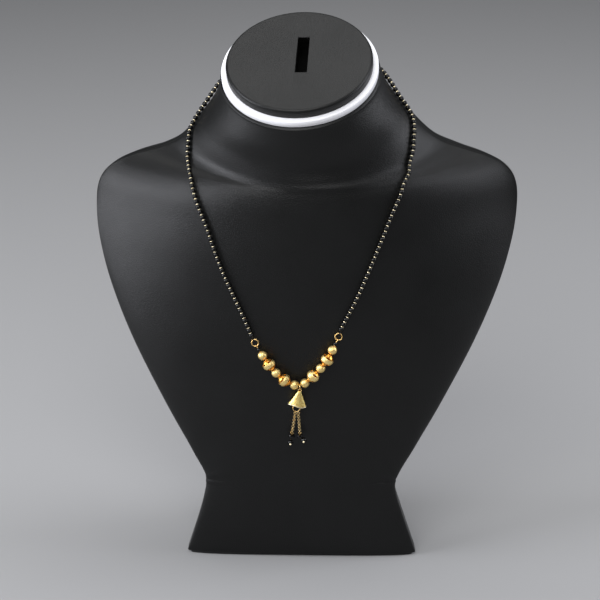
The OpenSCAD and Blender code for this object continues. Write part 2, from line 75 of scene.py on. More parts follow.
def add_node(
    tree: NodeTree,
    kind: str,
    settings: dict[str | int, Any] | None = None,
    links: dict[str | int, NodeSocket] | None = None,
) -> Node:
    """Adds a node with its settings and links.

    Args:
        tree: The tree that gets the node.
        kind: The node's type name.
        settings: Values by name. A lower-case name is a property, any other an input.
        links: Output sockets by the name or number of the input that they feed.

    Returns:
        The new node.
    """
    node = tree.nodes.new(kind)
    for name, value in (settings or {}).items():
        if isinstance(name, str) and name[0].islower():
            setattr(node, name, value)
        else:
            node.inputs[name].default_value = value
    for name, socket in (links or {}).items():
        tree.links.new(socket, node.inputs[name])
    return node


def new_material(name: str, settings: dict[str | int, Any]) -> tuple[Material, Node]:
    """Makes a material with one Principled shader.

    Args:
        name: The material's name.
        settings: The shader's input values.

    Returns:
        The material and its shader node.
    """
    material = bpy.data.materials.new(name)
    material.use_nodes = True
    tree = material.node_tree
    tree.nodes.clear()
    shader = add_node(tree, "ShaderNodeBsdfPrincipled", settings)
    add_node(tree, "ShaderNodeOutputMaterial", links={"Surface": shader.outputs["BSDF"]})
    return material, shader


def mixed(
    tree: NodeTree, first: str, second: str, share: NodeSocket
) -> NodeSocket:
    """Mixes two hex colours by a share, and returns the socket of the result."""
    settings = {"data_type": "RGBA", 6: linear(first), 7: linear(second)}
    return add_node(tree, "ShaderNodeMix", settings, {0: share}).outputs[2]


def linked(name: str, data: Any) -> Object:
    """Makes an object and links it to the scene.

    Args:
        name: The object's name.
        data: Its mesh, light or camera.

    Returns:
        The object.
    """
    thing = bpy.data.objects.new(name, data)
    bpy.context.scene.collection.objects.link(thing)
    return thing


def smooth_faces(mesh: Mesh, crease: float) -> None:
    """Shades a mesh smooth, apart from edges sharper than an angle.

    Args:
        mesh: The mesh.
        crease: The angle in degrees past which an edge stays sharp.
    """
    work = bmesh.new()
    work.from_mesh(mesh)
    for face in work.faces:
        face.smooth = True
    for edge in work.edges:
        edge.smooth = edge.is_boundary or edge.calc_face_angle(0.0) < math.radians(crease)
    work.to_mesh(mesh)
    work.free()


def finish_piece(
    name: str,
    mesh: Mesh,
    materials: Sequence[Material],
    node: str,
    crease: float = 38.0,
) -> None:
    """Links a finished mesh as a piece that rides on the part.

    Args:
        name: The piece's name.
        mesh: Its mesh, in metres and in place.
        materials: Its materials, in the order of the faces' numbers.
        node: The CAD node that it stands for.
        crease: The angle past which an edge stays sharp.
    """
    mesh.name = name
    numbers = [face.material_index for face in mesh.polygons]
    mesh.materials.clear()
    for material in materials:
        mesh.materials.append(material)
    mesh.polygons.foreach_set("material_index", numbers)
    smooth_faces(mesh, crease)
    piece = linked(name, mesh)
    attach(piece, "root")
    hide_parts(node)
    LOG.info("%s: %d faces", name, len(mesh.polygons))


def numbered(mesh: Mesh, number: int) -> Mesh:
    """Gives all the faces of a mesh one material number, and returns it."""
    mesh.polygons.foreach_set("material_index", [number] * len(mesh.polygons))
    return mesh


def baked(source: Object) -> Mesh:
    """Turns an object with its modifiers into a plain mesh and removes the object.

    Args:
        source: The object, which is linked to the scene.

    Returns:
        The evaluated mesh.
    """
    bpy.context.view_layer.update()
    seen = source.evaluated_get(bpy.context.evaluated_depsgraph_get())
    mesh = bpy.data.meshes.new_from_object(seen)
    bpy.data.objects.remove(source)
    return mesh


def grid_mesh(
    rows: Sequence[Sequence[Vector]],
    capped: bool = False,
    skip: Callable[[int, int], bool] | None = None,
    number: Callable[[int, int], int] | None = None,
) -> Mesh:
    """Makes a mesh from rows of points in millimetres, each of which closes on itself.

    Args:
        rows: The rows, which all have the same number of points.
        capped: Whether the first and last rows are closed with a face.
        skip: Says whether the face at a row and column is left out.
        number: Gives the material number of the face at a row and column.

    Returns:
        The mesh, in metres.
    """
    work = bmesh.new()
    verts = [[work.verts.new(point * MM) for point in row] for row in rows]
    columns = len(rows[0])
    for i in range(len(rows) - 1):
        for j in range(columns):
            if skip and skip(i, j):
                continue
            k = (j + 1) % columns
            face = work.faces.new((verts[i][j], verts[i][k], verts[i + 1][k], verts[i + 1][j]))
            face.material_index = number(i, j) if number else 0
    if capped:
        work.faces.new(reversed(verts[0]))
        work.faces.new(verts[-1])
    bmesh.ops.remove_doubles(work, verts=work.verts, dist=1e-7)
    bmesh.ops.recalc_face_normals(work, faces=work.faces)
    mesh = bpy.data.meshes.new("grid")
    work.to_mesh(mesh)
    work.free()
    return mesh


def around(count: int) -> list[float]:
    """Gives a number of even angles round a circle, in radians."""
    return [2 * math.pi * k / count for k in range(count)]


def lathe_rows(profile: Profile, sides: int) -> list[list[Vector]]:
    """Turns a profile about Z.

    Args:
        profile: Radius and height of each point, in millimetres.
        sides: The number of sides around.

    Returns:
        A row of points for each profile point.
    """
    return [[Vector((r * math.cos(a), r * math.sin(a), z)) for a in around(sides)] for r, z in profile]


def arc(
    middle: tuple[float, float], r: float, start: float, end: float, steps: int
) -> list[tuple[float, float]]:
    """Gives points on an arc of a profile.

    Args:
        middle: The arc's middle.
        r: Its radius.
        start: The first angle in degrees.
        end: The last angle in degrees.
        steps: The number of steps.

    Returns:
        The points, both ends included.
    """
    turns = [math.radians(start + (end - start) * k / steps) for k in range(steps + 1)]
    return [(middle[0] + r * math.cos(a), middle[1] + r * math.sin(a)) for a in turns]


def ball_profile(r: float, bore: float, steps: int) -> list[tuple[float, float]]:
    """Gives the outside of a ball from one end of its bore to the other, for lathe_rows."""
    half = math.degrees(math.asin(bore / r))
    return arc((0.0, 0.0), r, -90 + half, 90 - half, steps)


def drilled_ball(r: float, bore: float, steps: int, sides: int) -> Mesh:
    """Makes a ball with a straight bore along Z.

    Args:
        r: Its radius.
        bore: The bore's radius.
        steps: Steps from one end of the bore to the other.
        sides: Sides around.

    Returns:
        The mesh, in metres.
    """
    profile = ball_profile(r, bore, steps)
    return grid_mesh(lathe_rows(profile + profile[:1], sides))


def along(place: Vector, way: Vector, turn: float = 0.0) -> Matrix:
    """Places a shape that stands along Z so that it points along a way, as the CAD source does.

    Args:
        place: Where its middle goes, in millimetres.
        way: The direction that its Z axis takes.
        turn: How far it is turned about its own axis, in degrees.

    Returns:
        The transform, in millimetres.
    """
    tip = math.acos(max(-1.0, min(1.0, way.z / way.length)))
    heading = math.atan2(way.y, way.x)
    facing = Matrix.Rotation(heading, 4, "Z") @ Matrix.Rotation(tip, 4, "Y")
    return Matrix.Translation(place) @ facing @ Matrix.Rotation(math.radians(turn), 4, "Z")


def moved(mesh: Mesh, transform: Matrix) -> Mesh:
    """Moves a mesh.

    Args:
        mesh: The mesh, in metres.
        transform: The transform, in millimetres.

    Returns:
        The same mesh.
    """
    shift = transform.copy()
    shift.translation = transform.translation * MM
    mesh.transform(shift)
    return mesh


def joined(meshes: Iterable[Mesh]) -> Mesh:
    """Joins meshes into one and removes them.

    Args:
        meshes: The meshes, whose faces keep their material numbers.

    Returns:
        The joined mesh.
    """
    work = bmesh.new()
    for mesh in meshes:
        work.from_mesh(mesh)
        bpy.data.meshes.remove(mesh)
    whole = bpy.data.meshes.new("joined")
    work.to_mesh(whole)
    work.free()
    return whole


def catmull(a: Any, b: Any, c: Any, d: Any, f: float) -> Any:
    """Gives the value between b and c on the smooth curve through four values.

    Args:
        a: The value before b.
        b: The value at 0.
        c: The value at 1.
        d: The value after c.
        f: The share of the way from b to c.

    Returns:
        The value there.
    """
    return (
        b * 2 + (c - a) * f + (a * 2 - b * 5 + c * 4 - d) * f * f + (b * 3 - a - c * 3 + d) * f * f * f
    ) * 0.5


def tube_mesh(
    points: Sequence[Vector], d: float, sides: int = 12, closed: bool = False, ease: int = 4
) -> Mesh:
    """Makes a round tube through points.

    Args:
        points: The points, in millimetres.
        d: The tube's diameter.
        sides: The number of sides around.
        closed: Whether the tube closes on itself.
        ease: Steps of the smooth line between two points.

    Returns:
        The mesh, in metres.
    """
    n = len(points)
    line = []
    for i in range(n if closed else n - 1):
        near = [points[(i + k) % n] if closed else points[max(0, min(n - 1, i + k))] for k in (-1, 0, 1, 2)]
        line += [catmull(*near, k / ease) for k in range(ease)]
    if closed:
        ways = [(b - a).normalized() for a, b in zip([line[-1], *line], [*line[1:], line[0]])]
    else:
        line.append(points[-1])
        ways = [(b - a).normalized() for a, b in zip([line[0], *line], [*line[1:], line[-1]])]
    side = ways[0].orthogonal().normalized()
    rows = []
    for place, way in zip(line, ways):
        side = (side - side.dot(way) * way).normalized()
        rise = way.cross(side)
        rows.append([place + d / 2 * (math.cos(a) * side + math.sin(a) * rise) for a in around(sides)])
    if closed:
        # The last row meets the first one where the tube's sides have drifted to.
        first = rows[0][0] - line[0]
        last = (side - side.dot(ways[0]) * ways[0]).normalized()
        drift = math.atan2(ways[0].dot(last.cross(first)), last.dot(first))
        shift = round(drift * sides / (2 * math.pi))
        rows.append([rows[0][(k - shift) % sides] for k in range(sides)])
    return grid_mesh(rows, capped=not closed)


def ring_mesh(place: Vector, axis: Vector, r: float, wire: float) -> Mesh:
    """Makes a ring of round wire.

    Args:
        place: The ring's middle, in millimetres.
        axis: Its axis.
        r: Its mean radius.
        wire: The wire's diameter.

    Returns:
        The mesh, in metres.
    """
    steps, sides, half = 40, 14, wire / 2
    rows = []
    for a in [*around(steps), 0.0]:
        out = Vector((math.cos(a), math.sin(a), 0))
        rows.append([out * (r + half * math.cos(b)) + UP * (half * math.sin(b)) for b in around(sides)])
    return moved(grid_mesh(rows), along(place, axis))


def eye_points(middle: Vector, r: float, leaves: Vector, side: Vector) -> list[Vector]:
    """Gives the points of an open eye of wire or thread.

    Args:
        middle: The eye's middle, in millimetres.
        r: Its mean radius.
        leaves: The way in which the wire leaves it.
        side: The way across, in the eye's own plane.

    Returns:
        Eleven points, from 50 degrees past where the wire leaves to where it leaves again.
    """
    turns = [math.radians(50 + 31 * k) for k in range(11)]
    return [middle + r * (math.cos(a) * leaves + math.sin(a) * side) for a in turns]


# Finishes


@dataclass(frozen=True)
class Leatherette:
    """PVC-coated cloth, embossed with a fine leather grain: black with a soft grey sheen."""

    name: str = "leatherette_embossed_pvc"
    colour: str = "#050505"
    worn: str = "#0b0c0c"
    roughness: float = 0.4
    # Real grain cells are 0.5 mm across. They are drawn 1.1 mm across, so that they show.
    grain: float = 1.1
    pore: float = 0.45
    cloud: float = 26.0
    depth: float = 0.07

    def material(self) -> Material:
        """Builds the material.

        Returns:
            The material.
        """
        made, shader = new_material(self.name, {"Roughness": self.roughness, "Specular IOR Level": 0.3})
        tree = made.node_tree
        place = {"Vector": add_node(tree, "ShaderNodeTexCoord").outputs["Object"]}
        cells = add_node(
            tree, VORONOI,
            {"feature": "DISTANCE_TO_EDGE", "Scale": 1 / (self.grain * MM), "Randomness": 0.95}, place,
        ).outputs["Distance"]
        creases = add_node(tree, "ShaderNodeMapRange", {"From Min": 0.0, "From Max": 0.16}, {"Value": cells})
        pores = add_node(tree, NOISE, {"Scale": 1 / (self.pore * MM), "Detail": 3.0, "Roughness": 0.6}, place)
        cloudy = add_node(tree, NOISE, {"Scale": 1 / (self.cloud * MM), "Detail": 4.0}, place).outputs["Fac"]
        height = add_node(
            tree, "ShaderNodeMath", {"operation": "MULTIPLY_ADD", 1: 0.5},
            {0: pores.outputs["Fac"], 2: creases.outputs["Result"]},
        ).outputs["Value"]
        depth = {"Strength": 0.5, "Distance": self.depth * MM}
        bump = add_node(tree, "ShaderNodeBump", depth, {"Height": height})
        low, high = self.roughness - 0.07, self.roughness + 0.1
        gloss = add_node(tree, "ShaderNodeMapRange", {"To Min": low, "To Max": high}, {"Value": cloudy})
        tree.links.new(mixed(tree, self.colour, self.worn, cloudy), shader.inputs["Base Color"])
        tree.links.new(gloss.outputs["Result"], shader.inputs["Roughness"])
        tree.links.new(bump.outputs["Normal"], shader.inputs["Normal"])
        return made


@dataclass(frozen=True)
class Grained:
    """A finish with one fine texture, which gives its bumps and may paint shade into its hollows with a darker
    colour.
    """

    name: str
    colour: str
    roughness: float
    # Size and depth of the texture in millimetres, and how strongly it shows
    grain: float
    depth: float
    strength: float
    texture: str = NOISE
    settings: dict[str | int, Any] = field(default_factory=dict)
    looks: dict[str | int, Any] = field(default_factory=dict)
    # Painted shade: the darker colour of the texture's hollows, and the texture's values between which it
    # fades
    hollow_shade: str = ""
    spread: tuple[float, float] = (0.0, 1.0)

    def material(self) -> Material:
        """Builds the material.

        Returns:
            The material.
        """
        made, shader = new_material(self.name, {"Roughness": self.roughness, **self.looks})
        tree = made.node_tree
        place = add_node(tree, "ShaderNodeTexCoord").outputs["Object"]
        settings = {"Scale": 1 / (self.grain * MM), **self.settings}
        grain = add_node(tree, self.texture, settings, {"Vector": place})
        value = grain.outputs["Distance" if self.texture == VORONOI else "Fac"]
        depth = {"Strength": self.strength, "Distance": self.depth * MM}
        bump = add_node(tree, "ShaderNodeBump", depth, {"Height": value})
        tree.links.new(bump.outputs["Normal"], shader.inputs["Normal"])
        if self.hollow_shade:
            ends = dict(zip(("From Min", "From Max"), self.spread))
            share = add_node(tree, "ShaderNodeMapRange", ends, {"Value": value})
            hollow_shaded_colour = mixed(tree, self.hollow_shade, self.colour, share.outputs["Result"])
            tree.links.new(hollow_shaded_colour, shader.inputs["Base Color"])
        else:
            shader.inputs["Base Color"].default_value = linear(self.colour)
        return made


@dataclass(frozen=True)
class Gold(Grained):
    """22 carat yellow gold. A metal keeps the default IOR, and its colour carries the look."""

    settings: dict[str | int, Any] = field(default_factory=lambda: {"Detail": 4.0, "Roughness": 0.65})
    looks: dict[str | int, Any] = field(default_factory=lambda: {"Metallic": 1.0})
    # The painted shade of the hollows fades in between these texture values
    spread: tuple[float, float] = (0.32, 0.6)


@dataclass(frozen=True)
class Finishes:
    """The finished materials, by what they are on."""

    leatherette: Material
    foam_board: Material
    covered_board: Material
    slot_shade: Material
    black_glass: Material
    thread: Material
    glint_gold: Material
    chain_gold: Material
    polished_gold: Material
    burnished_shaded_gold: Material
    frosted_gold: Material
    chased_gold: Material

    @classmethod
    def made(cls) -> "Finishes":
        """Builds each material.

        Returns:
            The materials together.
        """
        parts = {
            "leatherette": Leatherette(),
            # Sawn PVC foam board: bright white, with a faint grain left by the saw, and painted shade in the
            # grain's hollows.
            "foam_board": Grained(
                "white_pvc_foam_board", "#f4f4f6", 0.55, 1.4, 0.08, 0.25,
                settings={"Detail": 4.0}, hollow_shade="#e4e4ea",
            ),
            # Grey board covered with matt black paper, seen only from below.
            "covered_board": Grained(
                "paper_covered_board", "#1b1b1c", 0.8, 0.8, 0.05, 0.3, settings={"Detail": 5.0}
            ),
            # Near-black and matt, with a cell-like bump: painted shade for the deep inside of the ring slot,
            # on its walls and on the skin under the board.
            "slot_shade": Grained(
                "painted_slot_shade", "#060606", 1.0, 0.5, 0.2, 0.8, VORONOI,
                looks={"Specular IOR Level": 0.05},
            ),
            # Pressed black glass, tumbled to a gloss: opaque, with sharp small highlights.
            "black_glass": Grained(
                "black_pressed_glass", "#040404", 0.12, 0.9, 0.06, 0.35, settings={"Detail": 2.0},
                looks={"IOR": 1.54, "Specular IOR Level": 0.28},
            ),
            # Twisted black nylon thread: satin, with the twist showing.
            "thread": Grained(
                "twisted_nylon_thread", "#1a1613", 0.5, 0.9, 0.05, 0.5, "ShaderNodeTexWave",
                {"bands_direction": "DIAGONAL"},
            ),
            # Seed rings, pin heads and the bell's rim: tumbled, with soft reflections, and a nearly cream
            # colour, paler than the other golds, that paints their glints and bright highlights.
            "glint_gold": Gold("gold_painted_glint", "#fff3d0", 0.34, 0.5, 0.02, 0.3, hollow_shade="#f0dcae"),
            # Links of the chains: between the rings and the wire in tone.
            "chain_gold": Gold("gold_chain_links", "#ffe8b0", 0.3, 0.5, 0.02, 0.3, hollow_shade="#f6cc86"),
            # Drawn wire, polished: pale, with clear reflections.
            "polished_gold": Gold("gold_polished_wire", "#ffdc98", 0.27, 1.2, 0.02, 0.2, hollow_shade="#f2bc66"),
            # Pressed shell, burnished, where balls face each other: the polish is real, and its deeper, redder
            # colour is painted shade and painted gold-on-gold reflection there.
            "burnished_shaded_gold": Gold("gold_burnished_shaded_shell", "#ffc462", 0.3, 0.9, 0.03, 0.35, hollow_shade="#e89a3a"),
            # Sandblasted: pale and even, with a sparkle. Grit of 0.05 mm is drawn 0.4 mm across.
            "frosted_gold": Gold("gold_sandblasted", "#ffeba6", 0.46, 0.4, 0.09, 1.0, hollow_shade="#eec068"),
            # Chased with short strokes, 0.3 mm apart and drawn 0.5 mm: richer, with broken highlights.
            "chased_gold": Gold("gold_chased", "#fff0a0", 0.4, 0.5, 0.14, 1.0, hollow_shade="#f0b652"),
        }
        return cls(**{name: finish.material() for name, finish in parts.items()})


# The bust's surface


@dataclass(frozen=True)
class Section:
    """One level of the bust, in shares of the bust's sizes, as in the CAD source."""

    height: float
    shift: float
    half_width: float
    middle: float
    front: float
    back: float
    front_p: float
    front_q: float
    back_n: float
    lean: float


@dataclass
class BustForm:
    """The surface that the bust's skin and the strand follow."""

    height: float = 267.0
    half_width: float = 113.0
    depth: float = 80.0
    lean: float = 27.0
    roll: float = 4.0
    body_bottom: float = 1.55
    board_r: float = 40.7
    lip_w: float = 1.3
    lip_h: float = 4.6
    # The neck's rolled edge: how far down, how far past the board, and the share of the lean
    lip: tuple[tuple[float, float, float], ...] = ((1.0, 1.0, 0.90), (0.35, 0.65, 0.97), (0.0, -0.9, 1.00))
    neck_x: float = -0.013
    neck_y: float = -0.0375
    sections: list[tuple[float, ...]] = field(
        default_factory=lambda: [
            (0.000, -0.002, 0.557, -0.375, 0.050, 0.800, 2.6, 2.00, 2.2, 0.00),
            (0.086, -0.004, 0.494, -0.375, 0.063, 0.775, 2.6, 2.00, 2.2, 0.00),
            (0.134, -0.007, 0.464, -0.375, 0.075, 0.750, 2.5, 1.90, 2.2, 0.00),
            (0.161, -0.006, 0.458, -0.370, 0.085, 0.740, 2.4, 1.80, 2.2, 0.00),
            (0.192, -0.001, 0.481, -0.363, 0.100, 0.750, 2.3, 1.70, 2.3, 0.00),
            (0.318, 0.002, 0.644, -0.300, 0.175, 0.750, 2.2, 1.60, 2.5, 0.00),
            (0.454, 0.004, 0.810, -0.188, 0.300, 0.638, 2.1, 1.40, 2.6, 0.03),
            (0.563, 0.007, 0.920, -0.063, 0.428, 0.513, 2.0, 1.20, 2.7, 0.06),
            (0.650, 0.010, 0.980, 0.050, 0.531, 0.400, 2.0, 1.05, 2.7, 0.09),
            (0.717, 0.014, 0.997, 0.113, 0.588, 0.338, 2.0, 0.90, 2.6, 0.12),
            (0.763, 0.019, 0.984, 0.138, 0.608, 0.313, 2.0, 0.84, 2.5, 0.14),
            (0.792, 0.028, 0.932, 0.150, 0.613, 0.300, 2.0, 0.82, 2.4, 0.17),
            (0.811, 0.034, 0.844, 0.150, 0.606, 0.300, 2.0, 0.84, 2.4, 0.21),
            (0.826, 0.040, 0.730, 0.138, 0.593, 0.313, 2.0, 0.90, 2.4, 0.28),
            (0.849, 0.024, 0.611, 0.113, 0.563, 0.350, 2.0, 1.10, 2.3, 0.42),
            (0.895, 0.007, 0.500, 0.063, 0.519, 0.400, 2.0, 1.60, 2.2, 0.70),
            (0.943, -0.003, 0.413, -0.006, 0.500, 0.488, 2.0, 2.00, 2.0, 0.86),
        ]
    )

    def __post_init__(self) -> None:
        """Adds the neck's rolled edge to the sections and works out the neck's top."""
        self.body_h = self.height - self.body_bottom
        self.neck_top = Vector((self.neck_x * self.half_width, self.neck_y * self.depth, self.height))
        roll, lean = math.radians(-self.roll), math.radians(self.lean)
        turn = Matrix.Rotation(roll, 4, "Y") @ Matrix.Rotation(lean, 4, "X")
        for drop, past, share in self.lip:
            r = self.board_r + past * self.lip_w
            middle = self.neck_top + turn @ (-drop * self.lip_h * UP)
            self.sections.append((
                (middle.z - self.body_bottom) / self.body_h, middle.x / self.half_width, r / self.half_width,
                middle.y / self.depth, r / self.depth, r / self.depth, 2, 2, 2, share,
            ))
        self.last = len(self.sections) - 1
        self.top_turn = Matrix.Translation(self.neck_top) @ turn

    def _row(self, k: int) -> tuple[float, ...]:
        """Gives a section's row, carried on past both ends.

        Args:
            k: The row's number.

        Returns:
            The section's values.
        """
        if k < 0:
            return tuple(2 * a - b for a, b in zip(self.sections[0], self.sections[1]))
        if k > self.last:
            return tuple(2 * a - b for a, b in zip(self.sections[-1], self.sections[-2]))
        return self.sections[k]

    def section(self, v: float) -> Section:
        """Gives the section at a level.

        Args:
            v: The level, in rows of the table.

        Returns:
            The section there.
        """
        k = min(max(math.floor(v), 0), self.last - 1)
        rows = zip(self._row(k - 1), self._row(k), self._row(k + 1), self._row(k + 2))
        return Section(*(catmull(*values, v - k) for values in rows))

    def point(self, u: float, v: float, row: Section | None = None) -> Vector:
        """Gives a point of the surface.

        Args:
            u: The angle around, in degrees.
            v: The level, in rows of the table.
            row: The section there, if it is at hand.

        Returns:
            The point, in millimetres.
        """
        row = row or self.section(v)
        c, s = math.cos(math.radians(u)), math.sin(math.radians(u))
        if s >= 0:
            reach = -row.front * max(0.0, 1 - abs(c) ** row.front_p) ** (1 / row.front_q)
        else:
            reach = row.back * max(0.0, 1 - abs(c) ** row.back_n) ** (1 / row.back_n)
        lean, roll = math.radians(self.lean * row.lean), math.radians(self.roll * row.lean**3)
        side, rise = self.half_width * row.half_width * c, self.depth * reach * math.sin(lean)
        return Vector((
            self.half_width * row.shift + side * math.cos(roll) - rise * math.sin(roll),
            self.depth * (row.middle + reach * math.cos(lean)),
            self.body_bottom + self.body_h * row.height + side * math.sin(roll) + rise * math.cos(roll),
        ))

    def normal(self, u: float, v: float) -> Vector:
        """Gives the outward normal at an angle and a level."""
        up = self.point(u, min(v + 0.05, self.last)) - self.point(u, max(v - 0.05, 0))
        return up.cross(self.point(u + 1, v) - self.point(u - 1, v)).normalized()


# The strand's route over the bust


@dataclass
class Strand:
    """The line of the whole loop, from the bail up the left side, round the back and down."""

    form: BustForm
    bead_d: float = 2.5
    large_d: float = 6.8
    seat_gap: float = 0.25
    steps: int = 8
    clasp_row: int = 18
    way_reach: float = 0.5
    # Angle and level on the bust, how much room a large ball needs (1) or a bead (0), and distance off it
    rows: tuple[tuple[float, float, float, float], ...] = (
        (90.8, 5.60, 1.0, 0.0), (96.1, 5.67, 1.0, 0.0), (100.8, 5.91, 1.0, 0.0), (104.8, 6.27, 0.3, 0.0),
        (107.9, 6.82, 0, 0), (112.9, 7.90, 0, 0), (118.3, 9.50, 0, 0), (125.6, 11.20, 0, 0),
        (131.7, 12.11, 0, 0), (142.5, 13.11, 0, 0), (153.3, 13.92, 0, 0), (162.4, 14.36, 0, 0),
        (173.0, 14.67, 0, 0), (181.5, 14.92, 0, 0), (188.0, 15.25, 0, 0), (196.0, 15.65, 0, 0),
        (212.0, 16.00, 0, 0), (242.0, 16.15, 0.0, 0.5), (270.0, 16.10, 0.0, 1.3), (298.0, 16.15, 0.0, 0.5),
        (326.0, 16.15, 0, 0), (343.0, 15.95, 0, 0), (351.5, 15.70, 0, 0), (355.5, 15.40, 0, 0),
        (361.5, 15.12, 0, 0), (372.5, 14.93, 0, 0), (388.2, 14.52, 0, 0), (406.0, 13.65, 0, 0),
        (418.9, 12.15, 0, 0), (424.7, 10.55, 0, 0), (429.7, 8.70, 0, 0), (434.3, 7.34, 0, 0),
        (438.4, 6.58, 0, 0), (439.2, 6.40, 0.3, 0.0), (442.0, 6.02, 1.0, 0.0), (446.2, 5.75, 1.0, 0.0),
    )

    def __post_init__(self) -> None:
        """Measures the line once, so that places can be asked for by distance."""
        count = len(self.rows) * self.steps
        places = [self._place(i / self.steps) for i in range(count + 1)]
        self.runs = [0.0]
        for a, b in zip(places, places[1:]):
            self.runs.append(self.runs[-1] + (b - a).length)
        self.length = self.runs[-1]
        self.clasp_run = self.runs[self.clasp_row * self.steps]

    def _row(self, k: int) -> Vector:
        """Gives a route row, a turn further for each lap."""
        lap, index = divmod(k, len(self.rows))
        return Vector(self.rows[index]) + Vector((360.0 * lap, 0, 0, 0))

    def _values(self, t: float) -> Vector:
        """Gives the route's values at a row number that need not be whole."""
        k = math.floor(t)
        return catmull(self._row(k - 1), self._row(k), self._row(k + 1), self._row(k + 2), t - k)

    def _place(self, t: float) -> Vector:
        """Gives a place of the route.

        Args:
            t: The row number, which need not be whole.

        Returns:
            The place, in millimetres.
        """
        u, v, seat, off = self._values(t)
        seat = min(max(seat, 0.0), 1.0)
        lift = (self.bead_d + (self.large_d - self.bead_d) * seat) / 2 + self.seat_gap + max(off, 0.0)
        return self.form.point(u, v) + lift * self.form.normal(u, v)

    def _number(self, run: float) -> float:
        """Gives the row number at a distance from the bail.

        Args:
            run: The distance, which is below 0 on the right side.

        Returns:
            The row number, which need not be whole.
        """
        run = run + self.length if run < 0 else run
        k = min(max(bisect_right(self.runs, run) - 1, 0), len(self.runs) - 2)
        return (k + (run - self.runs[k]) / (self.runs[k + 1] - self.runs[k])) / self.steps

    def at(self, run: float) -> Vector:
        """Gives the place at a distance from the bail."""
        return self._place(self._number(run))

    def way(self, run: float) -> Vector:
        """Gives the direction of the line at a distance from the bail."""
        return (self.at(run + self.way_reach) - self.at(run - self.way_reach)).normalized()

    def out(self, run: float) -> Vector:
        """Gives the way out from the bust, square to the strand.

        Args:
            run: The distance from the bail.

        Returns:
            The way, with a length of 1.
        """
        u, v, _, _ = self._values(self._number(run))
        normal, way = self.form.normal(u, v), self.way(run)
        return (normal - normal.dot(way) * way).normalized()


# Sub-assemblies


@dataclass
class NeckBust:
    """The leatherette bust, with its foot board."""

    form: BustForm
    finishes: Finishes
    sides: int = 240
    steps: int = 8
    foot_round: float = 0.5
    foot_steps: int = 4
    # Where the two side seams run and their half width, in degrees, and their depth
    seams: tuple[float, float] = (-6.0, 186.0)
    seam_w: float = 0.9
    seam_depth: float = 0.35
    # Levels between which the seams run, and how many levels they take to fade there
    seam_ends: tuple[float, float] = (0.3, 15.5)
    seam_fades: tuple[float, float] = (0.4, 0.8)
    # Folds that run in from the waist's corners: side, angle, level, slope, width in levels, height
    folds: tuple[tuple[float, ...], ...] = (
        (1, 22, 3.6, 0.012, 0.10, 0.55), (1, 26, 3.1, 0.004, 0.09, 0.45), (1, 20, 4.3, 0.016, 0.16, 0.45),
        (-1, 22, 3.5, 0.010, 0.10, 0.55), (-1, 27, 3.0, 0.003, 0.10, 0.40), (-1, 20, 4.2, 0.014, 0.15, 0.50),
    )
    fold_fade: float = 20.0
    fold_end: float = 75.0

    def _seam(self, u: float, v: float) -> float:
        """Gives how deep the side seams are. They fade at both ends.

        Args:
            u: The angle around, in degrees.
            v: The level, in rows of the table.

        Returns:
            The depth, in millimetres.
        """
        side = min(abs((u - seam + 180) % 360 - 180) for seam in self.seams)
        (low, high), (rise, fall) = self.seam_ends, self.seam_fades
        reach = min(1.0, max(0.0, (v - low) / rise)) * min(1.0, max(0.0, (high - v) / fall))
        return self.seam_depth * reach * math.exp(-((side / self.seam_w) ** 2))

    def _wrinkles(self, u: float, v: float) -> float:
        """Gives the height of the folds.

        Args:
            u: The angle around, in degrees.
            v: The level, in rows of the table.

        Returns:
            The height, in millimetres.
        """
        total = 0.0
        for side, start, level, slope, width, high in self.folds:
            turn = (u if side > 0 else 180 - u) % 360
            if turn <= self.fold_end:
                fade = math.exp(-(((turn - start) / self.fold_fade) ** 2))
                total += high * fade * math.exp(-(((v - level - slope * turn) / width) ** 2))
        return total

    def _foot_row(self, turn: float) -> list[Vector]:
        """Gives a row of the rounded lower edge.

        Args:
            turn: The angle up its rounding, in radians.

        Returns:
            The row's points, in millimetres.
        """
        base = self.form.section(0.0)
        drop, rise = self.foot_round * (1 - math.sin(turn)), self.foot_round * (1 - math.cos(turn))
        points = [self.form.point(360 * j / self.sides, 0.0, base) for j in range(self.sides)]
        return [p - Vector((p.x, p.y, 0)).normalized() * drop + UP * rise for p in points]

    def _row(self, v: float) -> list[Vector]:
        """Gives a row of the skin, with its seams and folds.

        Args:
            v: The level, in rows of the table.

        Returns:
            The row's points, in millimetres.
        """
        section = self.form.section(v)
        row = []
        for j in range(self.sides):
            u = 360 * j / self.sides
            relief = self._wrinkles(u, v) - self._seam(u, v)
            point = self.form.point(u, v, section)
            row.append(point + relief * self.form.normal(u, v) if abs(relief) > 0.01 else point)
        return row

    def build(self) -> None:
        """Builds the skin and dresses the foot board."""
        rows = [self._foot_row(math.pi / 2 * k / self.foot_steps) for k in range(self.foot_steps)]
        rows += [self._row(i / self.steps) for i in range(1, self.form.last * self.steps + 1)]
        mesh = grid_mesh(rows, capped=True)
        to_top = self.form.top_turn.inverted()
        # The top cap under the board, seen only down the ring slot, gets the painted slot shade
        for face in mesh.polygons:
            place = to_top @ (face.center / MM)
            under_board = abs(place.z) < 0.1 and place.length < self.form.board_r - 3
            face.material_index = 1 if under_board else 0
        skin = [self.finishes.leatherette, self.finishes.slot_shade]
        finish_piece("bust_skin", mesh, skin, "bust_body", 50)
        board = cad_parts["base_board"]
        board.data.materials.clear()
        board.data.materials.append(self.finishes.covered_board)


